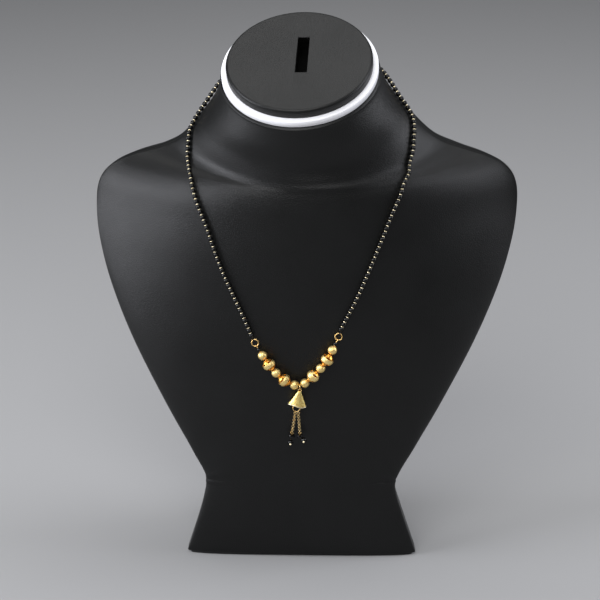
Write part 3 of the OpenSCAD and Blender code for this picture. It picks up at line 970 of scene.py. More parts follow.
@dataclass
class NeckTop:
    """The white board and the leatherette pad on the neck, with a slot for a ring."""

    form: BustForm
    finishes: Finishes
    board_t: float = 3.6
    board_edge: float = 0.25
    pad_inset: float = 2.7
    pad_t: float = 5.2
    pad_round: float = 1.6
    pad_foot: float = 0.7
    face_gap: float = 0.05
    slot_w: float = 6.0
    slot_l: float = 26.5
    slot_turn: float = 4.4
    slot_side: float = 1.8
    slot_up: float = 4.0
    slot_round: float = 0.45
    # How far in from a disc's edge its flat top begins
    rim: float = 3.0
    sides: int = 160

    def _cutter(self, top: float) -> Object:
        """Makes the block that cuts the slot through a disc.

        Args:
            top: The disc's height.

        Returns:
            The block.
        """
        work = bmesh.new()
        bmesh.ops.create_cube(work, size=1.0)
        size = Matrix.Diagonal((self.slot_w * MM, self.slot_l * MM, 4 * top * MM, 1))
        place = Matrix.Translation(Vector((self.slot_side, self.slot_up, top / 2)) * MM)
        turn = Matrix.Rotation(math.radians(-self.slot_turn), 4, "Z")
        bmesh.ops.transform(work, matrix=place @ turn @ size, verts=work.verts)
        mesh = bpy.data.meshes.new("cutter")
        work.to_mesh(mesh)
        work.free()
        return linked("cutter", mesh)

    def _slotted(self, profile: Profile, soft: float) -> Mesh:
        """Turns a profile into a disc and cuts the slot through it.

        Args:
            profile: The disc's edge, from its underside to its top.
            soft: The rounding of the slot's edges, or 0 where another piece covers them.

        Returns:
            The mesh, flat on Z = 0.
        """
        disc = linked("disc", grid_mesh(lathe_rows(profile, self.sides), capped=True))
        cutter = self._cutter(profile[-1][1])
        cut = disc.modifiers.new("slot", "BOOLEAN")
        cut.operation, cut.solver, cut.object = "DIFFERENCE", "EXACT", cutter
        if soft:
            edge = disc.modifiers.new("soft", "BEVEL")
            edge.width, edge.segments = soft * MM, 3
            edge.limit_method, edge.angle_limit = "ANGLE", math.radians(60)
        mesh = baked(disc)
        bpy.data.objects.remove(cutter)
        reach = profile[-1][0] - 2
        # Faces inside the slot get the painted slot shade: all of them on the board, the steep ones on the pad
        for face in mesh.polygons:
            in_slot_shade = (not soft or abs(face.normal.z) < 0.5) and (face.center / MM).xy.length < reach
            face.material_index = 1 if in_slot_shade else 0
        return mesh

    def build(self) -> None:
        """Builds the board and the pad."""
        r, t, edge = self.form.board_r, self.board_t, self.board_edge
        profile = [(r - edge, 0.0), (r, edge), (r, t * 0.5), (r, t - edge), (r - edge, t), (r - self.rim, t)]
        place = self.form.top_turn @ Matrix.Translation(self.face_gap * UP)
        board = moved(self._slotted(profile, 0.0), place)
        white = [self.finishes.foam_board, self.finishes.slot_shade]
        finish_piece("neck_board_white", board, white, "neck_board", 50)
        r, t, foot, soft = r - self.pad_inset, self.pad_t, self.pad_foot, self.pad_round
        profile = [(r - self.rim, 0.0)] + arc((r - foot, foot), foot, -90, 0, 4)
        profile += arc((r - soft, t - soft), soft, 0, 90, 8) + [(r - self.rim, t)]
        place = self.form.top_turn @ Matrix.Translation((2 * self.face_gap + self.board_t) * UP)
        pad = moved(self._slotted(profile, self.slot_round), place)
        cover = [self.finishes.leatherette, self.finishes.slot_shade]
        finish_piece("neck_pad_cover", pad, cover, "neck_pad", 24)


@dataclass
class LineTree:
    """A node tree that sets things out along a line, with the steps that such trees share."""

    name: str = "line_tree"
    inputs: dict[str, str] = field(default_factory=dict)

    def __post_init__(self) -> None:
        """Makes the empty tree with its sockets."""
        self.tree = bpy.data.node_groups.new(self.name, "GeometryNodeTree")
        sockets = self.tree.interface
        sockets.new_socket("Geometry", in_out="OUTPUT", socket_type="NodeSocketGeometry")
        for label, kind in {"Geometry": "Geometry", **self.inputs}.items():
            sockets.new_socket(label, in_out="INPUT", socket_type=f"NodeSocket{kind}")
        self.given = add_node(self.tree, "NodeGroupInput").outputs

    def _curve(self) -> NodeSocket:
        """Turns the given edges to a curve, and returns its socket."""
        links = {"Mesh": self.given["Geometry"]}
        return add_node(self.tree, "GeometryNodeMeshToCurve", links=links).outputs["Curve"]

    def _hoop(self, steps: int, sides: int, radius: str, wire: str) -> NodeSocket:
        """Makes a ring of wire.

        Args:
            steps: Steps round the ring.
            sides: Sides round the wire.
            radius: The input that gives the ring's radius.
            wire: The input that gives the wire's radius.

        Returns:
            The socket of its mesh.
        """
        shape = "GeometryNodeCurvePrimitiveCircle"
        hoop = add_node(self.tree, shape, {"Resolution": steps}, {"Radius": self.given[radius]})
        section = add_node(self.tree, shape, {"Resolution": sides}, {"Radius": self.given[wire]})
        links = {"Curve": hoop.outputs["Curve"], "Profile Curve": section.outputs["Curve"]}
        return add_node(self.tree, "GeometryNodeCurveToMesh", links=links).outputs["Mesh"]

    def _facing(self, points: Node) -> NodeSocket:
        """Turns Z along the line at each point, and returns the rotation's socket."""
        kind, links = "FunctionNodeAlignRotationToVector", {"Vector": points.outputs["Tangent"]}
        return add_node(self.tree, kind, {"axis": "Z"}, links).outputs["Rotation"]

    def _rolled(self, faces: NodeSocket, angle: Node) -> NodeSocket:
        """Rolls a rotation about its own Z.

        Args:
            faces: The socket of the rotation.
            angle: The node that gives the angle.

        Returns:
            The socket of the rolled rotation.
        """
        links = {"Angle": angle.outputs["Value"]}
        roll = add_node(self.tree, "FunctionNodeAxisAngleToRotation", {"Axis": (0, 0, 1)}, links)
        links = {"Rotation": faces, "Rotate By": roll.outputs["Rotation"]}
        turned = add_node(self.tree, "FunctionNodeRotateRotation", {"rotation_space": "LOCAL"}, links)
        return turned.outputs["Rotation"]

    def _placed(self, finish: str, links: dict[str | int, NodeSocket]) -> NodeSocket:
        """Puts a shape on the points, makes it real and gives it its finish.

        Args:
            finish: The input that gives the material.
            links: The sockets of the points, the shape, its rotation and what else is set.

        Returns:
            The socket of the finished shapes.
        """
        copies = add_node(self.tree, "GeometryNodeInstanceOnPoints", links=links)
        links = {"Geometry": copies.outputs["Instances"]}
        real = add_node(self.tree, "GeometryNodeRealizeInstances", links=links)
        links = {"Geometry": real.outputs["Geometry"], "Material": self.given[finish]}
        return add_node(self.tree, "GeometryNodeSetMaterial", links=links).outputs["Geometry"]

    def _ended(self, geometry: NodeSocket) -> NodeTree:
        """Links the tree's result, and returns the tree."""
        add_node(self.tree, "NodeGroupOutput", links={"Geometry": geometry})
        return self.tree


@dataclass
class StringTree(LineTree):
    """A node tree that threads beads on a line, with a small ring between each two."""

    name: str = "threaded_beads"
    inputs: dict[str, str] = field(default_factory=lambda: {
        "Bead": "Object", "Ring Radius": "Float", "Ring Wire": "Float", "Bead Turn": "Float",
        "Bead Finish": "Material", "Ring Finish": "Material",
    })

    def build(self) -> NodeTree:
        """Builds the tree.

        Returns:
            The tree.
        """
        tree, given = self.tree, self.given
        halves = add_node(tree, "GeometryNodeSubdivideCurve", {"Cuts": 1}, {"Curve": self._curve()})
        points = add_node(
            tree, "GeometryNodeCurveToPoints", {"mode": "EVALUATED"}, {"Curve": halves.outputs["Curve"]}
        )
        count = add_node(tree, "GeometryNodeInputIndex").outputs["Index"]
        odd = add_node(tree, "ShaderNodeMath", {"operation": "MODULO", 1: 2.0}, {0: count}).outputs["Value"]
        even = add_node(tree, "ShaderNodeMath", {"operation": "SUBTRACT", 0: 1.0}, {1: odd}).outputs["Value"]
        faces = self._facing(points)
        spin = add_node(tree, "ShaderNodeMath", {"operation": "MULTIPLY"}, {0: count, 1: given["Bead Turn"]})
        bead = add_node(tree, "GeometryNodeObjectInfo", links={"Object": given["Bead"]}).outputs["Geometry"]
        ring = self._hoop(14, 6, "Ring Radius", "Ring Wire")
        whole = add_node(tree, "GeometryNodeJoinGeometry")
        for finish, chosen, shape, turned in (
            ("Ring Finish", odd, ring, faces), ("Bead Finish", even, bead, self._rolled(faces, spin)),
        ):
            links = {"Points": points.outputs["Points"], "Selection": chosen}
            links |= {"Instance": shape, "Rotation": turned}
            tree.links.new(self._placed(finish, links), whole.inputs["Geometry"])
        return self._ended(whole.outputs["Geometry"])


@dataclass
class ChainTree(LineTree):
    """A node tree that hangs links along a line, each turned from the last."""

    name: str = "linked_chain"
    inputs: dict[str, str] = field(default_factory=lambda: {
        "Link Count": "Int", "Link Radius": "Float", "Link Wire": "Float", "Turn": "Float",
        "Finish": "Material",
    })

    def build(self) -> NodeTree:
        """Builds the tree.

        Returns:
            The tree.
        """
        tree, given = self.tree, self.given
        points = add_node(
            tree, "GeometryNodeCurveToPoints", {"mode": "COUNT"},
            {"Curve": self._curve(), "Count": given["Link Count"]},
        )
        link = add_node(
            tree, "GeometryNodeTransform", {"Rotation": (math.pi / 2, 0, 0)},
            {"Geometry": self._hoop(18, 8, "Link Radius", "Link Wire")},
        ).outputs["Geometry"]
        count = add_node(tree, "GeometryNodeInputIndex").outputs["Index"]
        turns = {0: count, 1: given["Turn"], 2: given["Turn"]}
        angle = add_node(tree, "ShaderNodeMath", {"operation": "MULTIPLY_ADD"}, turns)
        turned = self._rolled(self._facing(points), angle)
        links = {"Points": points.outputs["Points"], "Instance": link, "Rotation": turned}
        return self._ended(self._placed("Finish", links))


def grown(
    tree: NodeTree, line: Sequence[Vector], values: dict[str, Any]
) -> tuple[Mesh, list[Material]]:
    """Runs a node tree on a line of points.

    Args:
        tree: The node tree.
        line: The points of the line, in millimetres.
        values: The tree's inputs by name.

    Returns:
        The plain mesh that the tree makes, and its materials without the empty slots.
    """
    mesh = bpy.data.meshes.new("line")
    mesh.from_pydata([p * MM for p in line], [(i, i + 1) for i in range(len(line) - 1)], [])
    host = linked("line", mesh)
    modifier = host.modifiers.new("grow", "NODES")
    modifier.node_group = tree
    for socket in tree.interface.items_tree:
        if socket.in_out == "INPUT" and socket.name in values:
            modifier[socket.identifier] = values[socket.name]
    grown_mesh = baked(host)
    used = [material for material in grown_mesh.materials if material]
    numbers = [used.index(grown_mesh.materials[face.material_index]) for face in grown_mesh.polygons]
    grown_mesh.polygons.foreach_set("material_index", numbers)
    return grown_mesh, used


@dataclass
class BlackStrings:
    """The two strings of black beads, their thread and the clasp behind the neck."""

    strand: Strand
    finishes: Finishes
    bead_d: float = 2.5
    pitch: float = 2.9
    thread_d: float = 0.4
    bore_gap: float = 0.3
    ball_gap: float = 0.12
    clasp_d: float = 3.8
    clasp_l: float = 8.0
    clasp_round: float = 0.9
    # The band round the clasp's middle: half its width, its slope and its depth
    band_half: float = 0.5
    band_slope: float = 0.15
    band_depth: float = 0.18
    # Beads are drawn larger than the CAD's 2.5 mm, so that the strings look dense.
    drawn_d: float = 2.64
    # The bore narrows to this share inside, so that its edges look rounded.
    bore_share: float = 0.8
    bead_turn: float = 0.7
    # Mean radius of the gold rings between the beads, and the radius of their wire
    ring_r: float = 0.72
    ring_wire: float = 0.2

    def _runs(self, start: float, end: float) -> list[float]:
        """Spaces the beads evenly between two distances, and returns the distances."""
        n = math.floor((end - start) / self.pitch)
        return [start + (end - start) * i / n for i in range(n + 1)]

    def _bead(self) -> Object:
        """Makes one drilled bead with softly rounded bore edges.

        Returns:
            The bead.
        """
        r, bore = self.drawn_d / 2, self.thread_d / 2 + self.bore_gap
        share = self.bore_share
        profile = ball_profile(r, bore, 10) + [(bore * share, r * share), (bore * share, -r * share)]
        bead = linked("bead_form", grid_mesh(lathe_rows(profile + profile[:1], 14)))
        bead.data.polygons.foreach_set("use_smooth", [True] * len(bead.data.polygons))
        return bead

    def build(self, start: float, loops: "GoldSection") -> None:
        """Builds both strings.

        Args:
            start: The distance of the first bead from the bail.
            loops: The gold section, which has the jump rings that the thread ends on.
        """
        at, clasp = self.strand.at, self.strand.clasp_run
        tree, bead = StringTree().build(), self._bead()
        end = self.clasp_l / 2 + self.bead_d / 2 + self.ball_gap
        runs = {
            "left": self._runs(start, clasp - end),
            "right": self._runs(clasp + end, self.strand.length - start),
        }
        for side, places in runs.items():
            # The rings between the beads take the paler gold, which paints their glints
            mesh, used = grown(tree, [at(s) for s in places], {
                "Bead": bead, "Ring Radius": self.ring_r * MM, "Ring Wire": self.ring_wire * MM,
                "Bead Turn": self.bead_turn,
                "Bead Finish": self.finishes.black_glass, "Ring Finish": self.finishes.glint_gold,
            })
            finish_piece(f"bead_string_{side}", mesh, used, f"black_beads_{side}", 60)
        bpy.data.objects.remove(bead)
        ends = [clasp - self.clasp_l / 2, clasp + self.clasp_l / 2]
        line = [at(s) for s in runs["left"] + ends + runs["right"]]
        line = loops.end_loop(-1, 1) + line + loops.end_loop(1, 1)[::-1]
        thread = tube_mesh(line, self.thread_d, 6, ease=2)
        finish_piece("thread_line", thread, [self.finishes.thread], "bead_thread", 60)
        self._build_clasp(at(ends[0]), at(ends[1]))

    def _build_clasp(self, a: Vector, b: Vector) -> None:
        """Builds the barrel clasp.

        Args:
            a: The place on the thread where it starts.
            b: The place where it ends.
        """
        r, half, soft = self.clasp_d / 2, self.clasp_l / 2 - self.ball_gap, self.clasp_round
        bore = self.thread_d / 2 + self.bore_gap
        wide, low = (r, self.band_half), (r - self.band_depth, self.band_half - self.band_slope)
        upper = [low, wide, *arc((r - soft, half - soft), soft, 0, 60, 4), (r * 0.55, half), (bore, half)]
        profile = [(x, -z) for x, z in reversed(upper)] + upper + [(bore, -half)]
        mesh = moved(grid_mesh(lathe_rows(profile, 36)), along((a + b) / 2, b - a))
        finish_piece("clasp_barrel", mesh, [self.finishes.polished_gold], "clasp", 30)


class BallKind(Enum):
    """The kinds of large gold ball in the front section."""

    PIERCED = "pierced"
    GRAINED = "grained"


@dataclass
class GoldSection:
    """The front wire with its gold balls, its two black beads and its two jump rings."""

    strand: Strand
    finishes: Finishes
    small_d: float = 4.9
    # How far the dished end of a small ball reaches past its bore, and how deep it is
    dish_w: float = 0.22
    dish_h: float = 0.25
    large_d: float = 6.8
    band_w: float = 2.5
    band_rise: float = 0.15
    shell: float = 0.45
    windows: int = 4
    window_h: float = 0.75
    window_share: float = 0.64
    collar_d: float = 2.6
    sides: int = 80
    wire_d: float = 0.5
    bore_gap: float = 0.3
    # How far from a ball's middle the wire turns straight into its bore, as a share of its diameter
    bore_share: float = 0.4
    ball_gap: float = 0.12
    ring_r: float = 1.85
    ring_wire: float = 0.6
    eye_r: float = 0.78
    link_gap: float = 0.1
    front_bead_d: float = 2.2
    bail_wire: float = 0.5
    # How far each large ball is turned about the wire, in degrees, and its kind
    turns: tuple[float, float, float, float] = (200.0, 250.0, 20.0, 300.0)
    kinds: tuple[BallKind, ...] = (BallKind.PIERCED, BallKind.PIERCED, BallKind.GRAINED, BallKind.PIERCED)

    def __post_init__(self) -> None:
        """Works out the distances along the wire from the bail."""
        first = (self.bail_wire + self.small_d) / 2 + 2 * self.ball_gap
        step = (self.small_d + self.large_d) / 2 + self.ball_gap
        self.small_runs = [first + 2 * k * step for k in range(3)]
        self.large_runs = [first + (2 * k + 1) * step for k in range(2)]
        self.bead_run = self.small_runs[2] + (self.small_d + self.front_bead_d) / 2 + self.ball_gap
        self.eye_out = self.ring_r + self.link_gap + self.eye_r
        self.ring_run = self.bead_run + self.front_bead_d / 2 + self.wire_d / 2 + self.ball_gap + self.eye_out
        self.bore = self.wire_d / 2 + self.bore_gap
        # The second, darker gold goes where balls face each other and paints the shade there
        self.gold = [self.finishes.frosted_gold, self.finishes.burnished_shaded_gold]

    def string_start(self, thread_d: float, bead_d: float) -> float:
        """Gives the distance of the first bead of a string from the bail."""
        return self.ring_run + self.eye_out + thread_d + bead_d / 2 + self.ball_gap

    def _ring_at(self, side: int) -> float:
        """Gives the distance of a side's jump ring, -1 for left and 1 for right."""
        return self.ring_run if side < 0 else self.strand.length - self.ring_run

    def _on_wire(self, run: float, turn: float = 0.0) -> Matrix:
        """Places a shape on the wire at a distance from the bail, turned about it."""
        return along(self.strand.at(run), self.strand.way(run), turn)

    def end_loop(self, side: int, up: int) -> list[Vector]:
        """Gives the loop of thread or wire round a jump ring.

        Args:
            side: -1 for the left ring and 1 for the right one.
            up: 1 for the thread's loop and -1 for the wire's.

        Returns:
            The loop's points, which end where the thread or wire leaves it.
        """
        run = self._ring_at(side)
        leaves = -side * up * self.strand.way(run)
        middle = self.strand.at(run) + (self.ring_r + self.link_gap) * leaves
        return eye_points(middle, self.eye_r, leaves, self.strand.out(run))

    def _small_ball(self, run: float) -> Mesh:
        """Makes a small frosted ball with a dished, drilled end on each side.

        Args:
            run: Its distance from the bail.

        Returns:
            The mesh, in place.
        """
        steps, sides, edge = 28, 48, 0.05
        profile = ball_profile(self.small_d / 2, self.bore + self.dish_w, steps)
        top = profile[-1][1]
        end = [(self.bore + edge, top - edge), (self.bore, top - self.dish_h)]
        profile += end + [(r, -h) for r, h in reversed(end)]
        rows = lathe_rows(profile + profile[:1], sides)
        # The dished ends face the next ball and get the darker gold of painted shade
        return moved(grid_mesh(rows, number=lambda i, j: 1 if i >= steps else 0), self._on_wire(run))

    def _large_ball(self, run: float, turn: float, kind: BallKind) -> Mesh:
        """Makes a hollow ball with a frosted band, windows on both sides and end collars.

        Args:
            run: Its distance from the bail.
            turn: How far it is turned about the wire, in degrees.
            kind: Pierced, or grained with a wider band.

        Returns:
            The mesh, in place.
        """
        outer, inner = self.large_d / 2, self.large_d / 2 - self.band_rise
        half, collar, bore = self.band_w / 2, self.collar_d / 2, self.bore
        top = half + self.window_h
        neck = math.sqrt(inner**2 - collar**2)
        # Heights of the band's rows, then of the cap's: its step, its windows and the way to the collar
        band = [(math.sqrt(outer**2 - h * h), h) for h in [half * k / 4 for k in range(5)]]
        heights = [half + 0.08, half + 0.24, half + 0.56, top]
        heights += [top + (neck - top) * k / 5 for k in range(1, 6)]
        cap = [(math.sqrt(inner**2 - h * h), h) for h in heights]
        tip = [(collar - 0.02, inner - 0.12), (collar - 0.14, inner)]
        tip += [(bore + 0.1, inner), (bore, inner - 0.1)]
        upper = band + cap + tip
        profile = [(r, -h) for r, h in reversed(upper[1:])] + upper
        middle, first = len(upper) - 1, len(band)
        pitch = self.sides / self.windows
        frosted = first - 1 if kind is BallKind.PIERCED else first + 5

        def row_out(i: int) -> int:
            """Gives how many rows a face is from the ball's middle."""
            return i - middle if i >= middle else middle - 1 - i

        def opened(i: int, j: int) -> bool:
            """Says whether a face lies in a window. The windows of the two halves alternate.

            Args:
                i: The face's row.
                j: Its column.

            Returns:
                Whether it is left out.
            """
            row = row_out(i)
            step = (j - (0 if i >= middle else pitch / 2)) % pitch
            trim = 0 if row == first + 1 else 1
            return first <= row < first + 3 and trim <= step < self.window_share * pitch - trim

        def finish(i: int, j: int) -> int:
            """Gives the material number of a face."""
            return 0 if row_out(i) < frosted else 1

        # Caps past the frosted rows, which face the next balls, get the darker gold of painted shade
        shell = linked("shell", grid_mesh(lathe_rows(profile, self.sides), skip=opened, number=finish))
        wall = shell.modifiers.new("wall", "SOLIDIFY")
        wall.thickness, wall.offset, wall.use_even_offset = self.shell * MM, -1.0, False
        wall.material_offset, wall.material_offset_rim = 1, 1
        for material in self.gold:
            shell.data.materials.append(material)
        return moved(baked(shell), self._on_wire(run, turn))

    def build(self) -> None:
        """Builds the wire, its balls, its black beads and its rings."""
        small, large = ([*reversed(runs), *(-s for s in runs)] for runs in (self.small_runs, self.large_runs))
        for k, run in enumerate(small, 1):
            node = f"gold_ball_small_{k}"
            finish_piece(f"frosted_ball_{k}", self._small_ball(run), self.gold, node, 45)
        for k, ball in enumerate(zip(large, self.turns, self.kinds), 1):
            node = f"gold_ball_large_{k}"
            finish_piece(f"pierced_ball_{k}", self._large_ball(*ball), self.gold, node, 35)
        for side, name in ((-1, "left"), (1, "right")):
            self._build_side(side, name)
        threaded = [self.bead_run, small[0], large[0], small[1], large[1], small[2]]
        left, right = (self.end_loop(side, -1) + self._mouths(side, threaded) for side in (-1, 1))
        wire = tube_mesh([*left, self.strand.at(0), *reversed(right)], self.wire_d)
        finish_piece("front_wire_line", wire, [self.finishes.polished_gold], "front_wire", 60)

    def _mouths(self, side: int, runs: list[float]) -> list[Vector]:
        """Gives points near both mouths of each bore on one side of the wire.

        Args:
            side: -1 for left and 1 for right.
            runs: The distances of what is threaded, outermost first.

        Returns:
            The points, outermost first.
        """
        sizes = [self.front_bead_d, *[self.small_d, self.large_d] * 2, self.small_d]
        points = []
        for run, size in zip(runs, sizes):
            place, way = self.strand.at(-side * run), self.strand.way(-side * run)
            points += [place - side * end * self.bore_share * size * way for end in (1, -1)]
        return points

    def _build_side(self, side: int, name: str) -> None:
        """Builds the jump ring and the black bead of one side.

        Args:
            side: -1 for left and 1 for right.
            name: The side's name.
        """
        run = self._ring_at(side)
        ring = ring_mesh(self.strand.at(run), self.strand.out(run), self.ring_r, self.ring_wire)
        finish_piece(f"ring_{name}", ring, [self.finishes.polished_gold], f"jump_ring_{name}")
        ball = drilled_ball(self.front_bead_d / 2, self.bore, 16, 32)
        bead, glass = moved(ball, self._on_wire(-side * self.bead_run)), [self.finishes.black_glass]
        finish_piece(f"end_bead_{name}", bead, glass, f"front_bead_{name}")


@dataclass
class Pendant:
    """The bell on its bail, with two chains and their black beads."""

    strand: Strand
    finishes: Finishes
    bail_r: float = 1.7
    bail_wire: float = 0.5
    front_wire: float = 0.5
    link_gap: float = 0.1
    eye_r: float = 0.8
    eye_wire: float = 0.44
    bell_h: float = 8.2
    bell_w: float = 10.2
    bell_d: float = 5.6
    bell_wall: float = 0.45
    # How far down the bell's flat top ends, as a share of its height
    bell_neck: float = 0.1
    rim_d: float = 0.7
    swing: float = 9.5
    # How high the bell's rim waves, and the share of it at the back
    rim_wave: float = 0.35
    back_wave: float = 0.4
    tassel_r: float = 1.95
    # How far under the bell the tassel's ring has its middle, as a share of its radius
    tassel_low: float = 0.885
    tassel_wire: float = 0.44
    link_r: float = 0.66
    link_wire: float = 0.25
    # The links' wire is drawn thicker than the CAD's 0.25 mm, so that the chains show.
    drawn_wire: float = 0.32
    link_turn: float = 90.0
    # For the left and the right chain: its angle on the ring, its slant and its number of links
    hooks: tuple[float, float] = (-18.0, 26.0)
    drifts: tuple[float, float] = (-0.14, 0.07)
    counts: tuple[int, int] = (13, 13)
    cap_d: float = 3.2
    cap_h: float = 1.7
    cap_edge: float = 0.25
    drop_d: float = 3.1
    pin_d: float = 0.32
    head_d: float = 1.2
    # How far a pin stays clear of its round bead, and how steeply it comes round behind it
    pin_room: float = 0.45
    pin_slant: float = 0.4
    bore_gap: float = 0.3
    # Where each round bead hangs from its chain's end, in diameters of the bead
    drops: tuple[Vector, Vector] = (Vector((-0.25, -0.1, -1.78)), Vector((0.70, -0.3, -1.22)))

    def __post_init__(self) -> None:
        """Works out where each piece hangs."""
        fall = 2 * self.bail_r - (self.bail_wire + self.front_wire) / 2 - 2 * self.link_gap
        self.bail_low = self.strand.at(0) - fall * UP
        self.eye_drop = self.eye_r - (self.bail_wire + self.eye_wire) / 2 - self.link_gap
        self.bell_top = self.eye_drop + self.eye_r
        self.tassel_drop = self.bell_top + self.bell_h + self.tassel_low * self.tassel_r
        wires = (self.tassel_wire + self.eye_wire) / 2
        self.loop_drop = self.tassel_drop - self.tassel_r + wires + self.link_gap - self.eye_r
        self.hang = Matrix.Translation(self.bail_low) @ Matrix.Rotation(math.radians(self.swing), 4, "Y")
        self.tassel_middle = self.hang @ (-self.tassel_drop * UP)
        self.link_step = 2 * self.link_r - self.link_wire - self.link_gap
        self.pin_bore = self.pin_d / 2 + self.bore_gap

    def _rim_lift(self, a: float) -> float:
        """Gives how far the rim waves up at an angle round the bell."""
        return -self.rim_wave * math.sin(math.pi * math.cos(a)) * (1.0 if math.sin(a) <= 0 else self.back_wave)

    def _oval(self, r: float, drop: float, sides: int = 120) -> list[Vector]:
        """Gives a row of points round the bell.

        Args:
            r: Half the width there, in millimetres.
            drop: The depth, as a share of the bell's height.
            sides: The number of points.

        Returns:
            The points, which wave with the rim.
        """
        flat = self.bell_d / self.bell_w
        return [
            Vector((
                r * math.cos(a), r * flat * math.sin(a), self._rim_lift(a) * drop**2 - self.bell_h * drop
            )) for a in around(sides)
        ]

    def _bell(self) -> Mesh:
        """Makes the flattened bell, whose lower edge waves.

        Returns:
            The mesh, with its top at 0.
        """
        w, neck = self.bell_w / 2, self.bell_neck
        outside = [(0.0, 0.0), (0.14, 0.0), (0.19, 0.04), (0.24, neck)]
        outside += [(0.24 + 0.36 * k / 8, neck + 0.45 * k / 8) for k in range(1, 9)]
        outside += [(0.60 + 0.35 * k / 8, 0.55 + 0.40 * k / 8) for k in range(1, 9)]
        rows = [self._oval(w * share, drop) for share, drop in outside]
        inner = [self._oval(w * share - self.bell_wall, drop) for share, drop in reversed(outside[3:])]
        inner.append([(-neck * self.bell_h - self.bell_wall) * UP] * len(rows[0]))
        return grid_mesh(rows + inner, number=lambda i, j: 0 if i < len(rows) - 1 else 1)

    def _build_bell(self) -> None:
        """Builds the bail, the bell with its eyes, and the ring under it."""
        across = self.strand.way(0)
        across.z = 0
        bail = ring_mesh(self.bail_low + self.bail_r * UP, across, self.bail_r, self.bail_wire)
        finish_piece("bail_ring", bail, [self.finishes.polished_gold], "pendant_bail")
        top = Matrix.Translation(-self.bell_top * UP)
        stem_top = -(self.bell_top + self.bell_wall + self.bell_neck * self.bell_h) * UP
        stem = [stem_top, (self.eye_r - self.loop_drop) * UP]
        rim_line = [p + self.rim_d / 2 * UP for p in self._oval((self.bell_w - self.rim_d) / 2, 1.0, 72)]
        parts = [
            moved(self._bell(), top),
            numbered(ring_mesh(-self.eye_drop * UP, FRONT, self.eye_r, self.eye_wire), 1),
            numbered(ring_mesh(-self.loop_drop * UP, Vector((1, 0, 0)), self.eye_r, self.eye_wire), 1),
            numbered(tube_mesh(stem, self.eye_wire, ease=1), 1),
            # The rim is drawn in the paler gold, which paints its bright highlight
            numbered(moved(tube_mesh(rim_line, self.rim_d, closed=True, ease=1), top), 2),
        ]
        gold = [self.finishes.chased_gold, self.finishes.polished_gold, self.finishes.glint_gold]
        finish_piece("bell", moved(joined(parts), self.hang), gold, "pendant_bell", 50)
        ring = ring_mesh(self.tassel_middle, FRONT, self.tassel_r, self.tassel_wire)
        finish_piece("tassel_hoop", ring, [self.finishes.polished_gold], "tassel_ring")

    def _chain_line(self, side: int) -> tuple[Vector, Vector]:
        """Gives where a chain starts and the way that it runs.

        Args:
            side: 0 for left and 1 for right.

        Returns:
            The middle of its first link, and the way.
        """
        a = math.radians(self.hooks[side])
        way = Vector((self.drifts[side], 0, -1)).normalized()
        drop = self.link_r - (self.link_wire + self.tassel_wire) / 2 - self.link_gap
        return self.tassel_middle + self.tassel_r * Vector((math.sin(a), 0, -math.cos(a))) + drop * way, way

    def _build_tassel(self, side: int, name: str, tree: NodeTree) -> None:
        """Builds one chain with its two beads and its pin.

        Args:
            side: 0 for left and 1 for right.
            name: The side's name.
            tree: The chain's node tree.
        """
        start, way = self._chain_line(side)
        count, glass = self.counts[side], [self.finishes.black_glass]
        end = start + count * self.link_step * way
        chain, used = grown(tree, [start, end - self.link_step * way], {
            "Link Count": count, "Link Radius": self.link_r * MM, "Link Wire": self.drawn_wire / 2 * MM,
            "Turn": math.radians(self.link_turn), "Finish": self.finishes.chain_gold,
        })
        finish_piece(f"chain_{name}", chain, used, f"tassel_chain_{name}")
        cap = end + (self.link_r + self.link_wire + self.cap_h / 2) * way
        drop = end + self.drop_d * self.drops[side]
        bead = moved(self._cap_bead(), along(cap, way))
        finish_piece(f"cap_bead_{name}", bead, glass, f"tassel_cap_bead_{name}", 45)
        ball = moved(drilled_ball(self.drop_d / 2, self.pin_bore, 20, 40), along(drop, FRONT))
        finish_piece(f"drop_bead_{name}", ball, glass, f"tassel_drop_bead_{name}", 45)
        crosswise = along(end, way, self.link_turn * (count + 1)).to_3x3() @ Vector((1, 0, 0))
        reach = self.drop_d / 2 + self.pin_room
        head = drop + (self.drop_d + self.head_d) / 2 * FRONT
        line = eye_points(end, self.link_r, way, crosswise) + [
            cap - self.cap_h / 2 * way, cap + (self.cap_h / 2 + self.pin_d) * way,
            drop + reach * (self.pin_slant * UP - FRONT).normalized(), drop - reach * FRONT, head,
        ]
        pin = tube_mesh(line, self.pin_d, 10, ease=3)
        knob = grid_mesh(lathe_rows(arc((0.0, 0.0), self.head_d / 2, -90, 90, 16), 24))
        parts = [pin, numbered(moved(knob, along(head, FRONT)), 1)]
        # The pin's head gets the paler gold, which paints its glint
        gold = [self.finishes.polished_gold, self.finishes.glint_gold]
        finish_piece(f"pin_{name}", joined(parts), gold, f"tassel_pin_{name}", 60)

    def _cap_bead(self) -> Mesh:
        """Makes a flat round bead with softened edges.

        Returns:
            The mesh.
        """
        r, half, bore = self.cap_d / 2, self.cap_h / 2, self.pin_bore
        edge = math.degrees(math.asin(half / r))
        flat = math.sqrt(r * r - half * half) - self.cap_edge
        profile = [(bore, -half), (flat, -half), *arc((0.0, 0.0), r, 3 - edge, edge - 3, 10)]
        return grid_mesh(lathe_rows(profile + [(flat, half), (bore, half), (bore, -half)], 36))

    def build(self) -> None:
        """Builds the pendant from the bail down."""
        self._build_bell()
        tree = ChainTree().build()
        for side, name in enumerate(("left", "right")):
            self._build_tassel(side, name, tree)


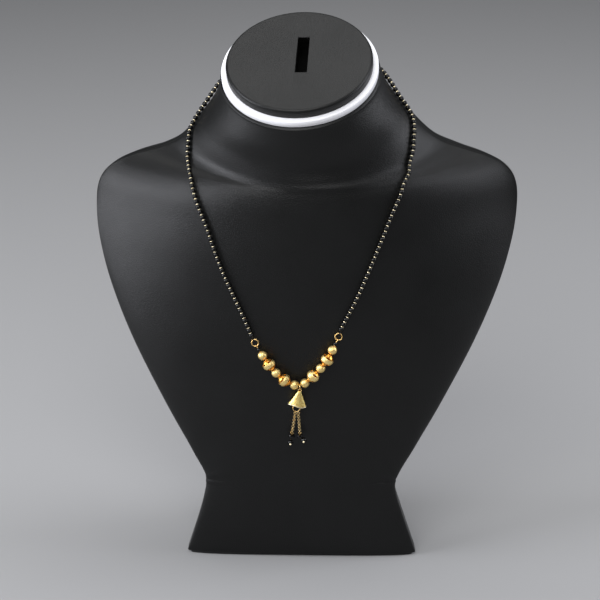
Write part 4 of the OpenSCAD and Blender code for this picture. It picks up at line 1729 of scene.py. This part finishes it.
@dataclass
class Studio:
    """The pale floor, the soft lights and the camera at the photograph's angle."""

    azimuth: float = 1.2
    elevation: float = 22.0
    distance: float = 1060.0
    target: Vector = field(default_factory=lambda: Vector((-1.2, -22.0, 148.0)))
    lens: float = 120.0
    floor_half: float = 8000.0
    floor_colour: str = "#969697"
    surroundings: str = "#e8ebef"
    aim: Vector = field(default_factory=lambda: Vector((0, 0, 150)))
    # Name, place, size and power in watts of each soft rectangular light, and its colour
    lights: tuple[tuple[Any, ...], ...] = (
        ("front_top", (-250, -1150, 1300), (1300, 900), 20.0, "#ffffff"),
        ("overhead", (0, 300, 1500), (1600, 900), 12.0, "#ffffff"),
        ("left_side", (-1200, -300, 480), (700, 900), 17.0, "#f6f8ff"),
        ("right_side", (1250, 100, 700), (700, 900), 10.5, "#f6f8ff"),
    )

    def _camera(self) -> None:
        """Makes the camera and looks at the bust."""
        a, e = math.radians(self.azimuth), math.radians(self.elevation)
        back = Vector((math.sin(a) * math.cos(e), -math.cos(a) * math.cos(e), math.sin(e)))
        data = bpy.data.cameras.new("camera")
        data.lens, data.sensor_width, data.clip_start, data.clip_end = self.lens, 36.0, 0.05, 50.0
        camera = linked("camera", data)
        camera.location = (self.target + back * self.distance) * MM
        camera.rotation_euler = back.to_track_quat("Z", "Y").to_euler()
        bpy.context.scene.camera = camera

    def _lights(self) -> None:
        """Adds the lights, which all face one point."""
        for name, at, size, power, colour in self.lights:
            place = Vector(at)
            data = bpy.data.lights.new(name, "AREA")
            data.shape, data.size, data.size_y, data.energy = "RECTANGLE", size[0] * MM, size[1] * MM, power
            data.color = linear(colour)[:3]
            light = linked(name, data)
            light.location = place * MM
            light.rotation_euler = (place - self.aim).to_track_quat("Z", "Y").to_euler()

    def build(self) -> None:
        """Builds the floor, the lights, the surroundings and the camera."""
        mesh = bpy.data.meshes.new("floor")
        half = self.floor_half * MM
        corners = [(x * half, y * half, 0) for x, y in ((-1, -1), (1, -1), (1, 1), (-1, 1))]
        mesh.from_pydata(corners, [], [(0, 1, 2, 3)])
        looks = {"Base Color": linear(self.floor_colour), "Roughness": 0.85}
        mesh.materials.append(new_material("studio_paper_floor", looks)[0])
        linked("floor", mesh)
        self._lights()
        world = bpy.data.worlds.new("studio")
        world.use_nodes = True
        background = world.node_tree.nodes["Background"]
        background.inputs["Color"].default_value = linear(self.surroundings)
        background.inputs["Strength"].default_value = 0.15
        bpy.context.scene.world = world
        # Golds and blacks keep the depth that they have in a product photograph.
        bpy.context.scene.view_settings.view_transform = "Standard"
        self._camera()


def main() -> None:
    """Builds the stand and the necklace in order."""
    logging.basicConfig(level=logging.INFO, format="%(name)s: %(message)s")
    Studio().build()
    finishes = Finishes.made()
    form = BustForm()
    NeckBust(form, finishes).build()
    NeckTop(form, finishes).build()
    strand = Strand(form)
    LOG.info("loop: %.1f mm", strand.length)
    gold = GoldSection(strand, finishes)
    strings = BlackStrings(strand, finishes)
    strings.build(gold.string_start(strings.thread_d, strings.bead_d), gold)
    gold.build()
    Pendant(strand, finishes).build()


if __name__ == "__main__":
    main()
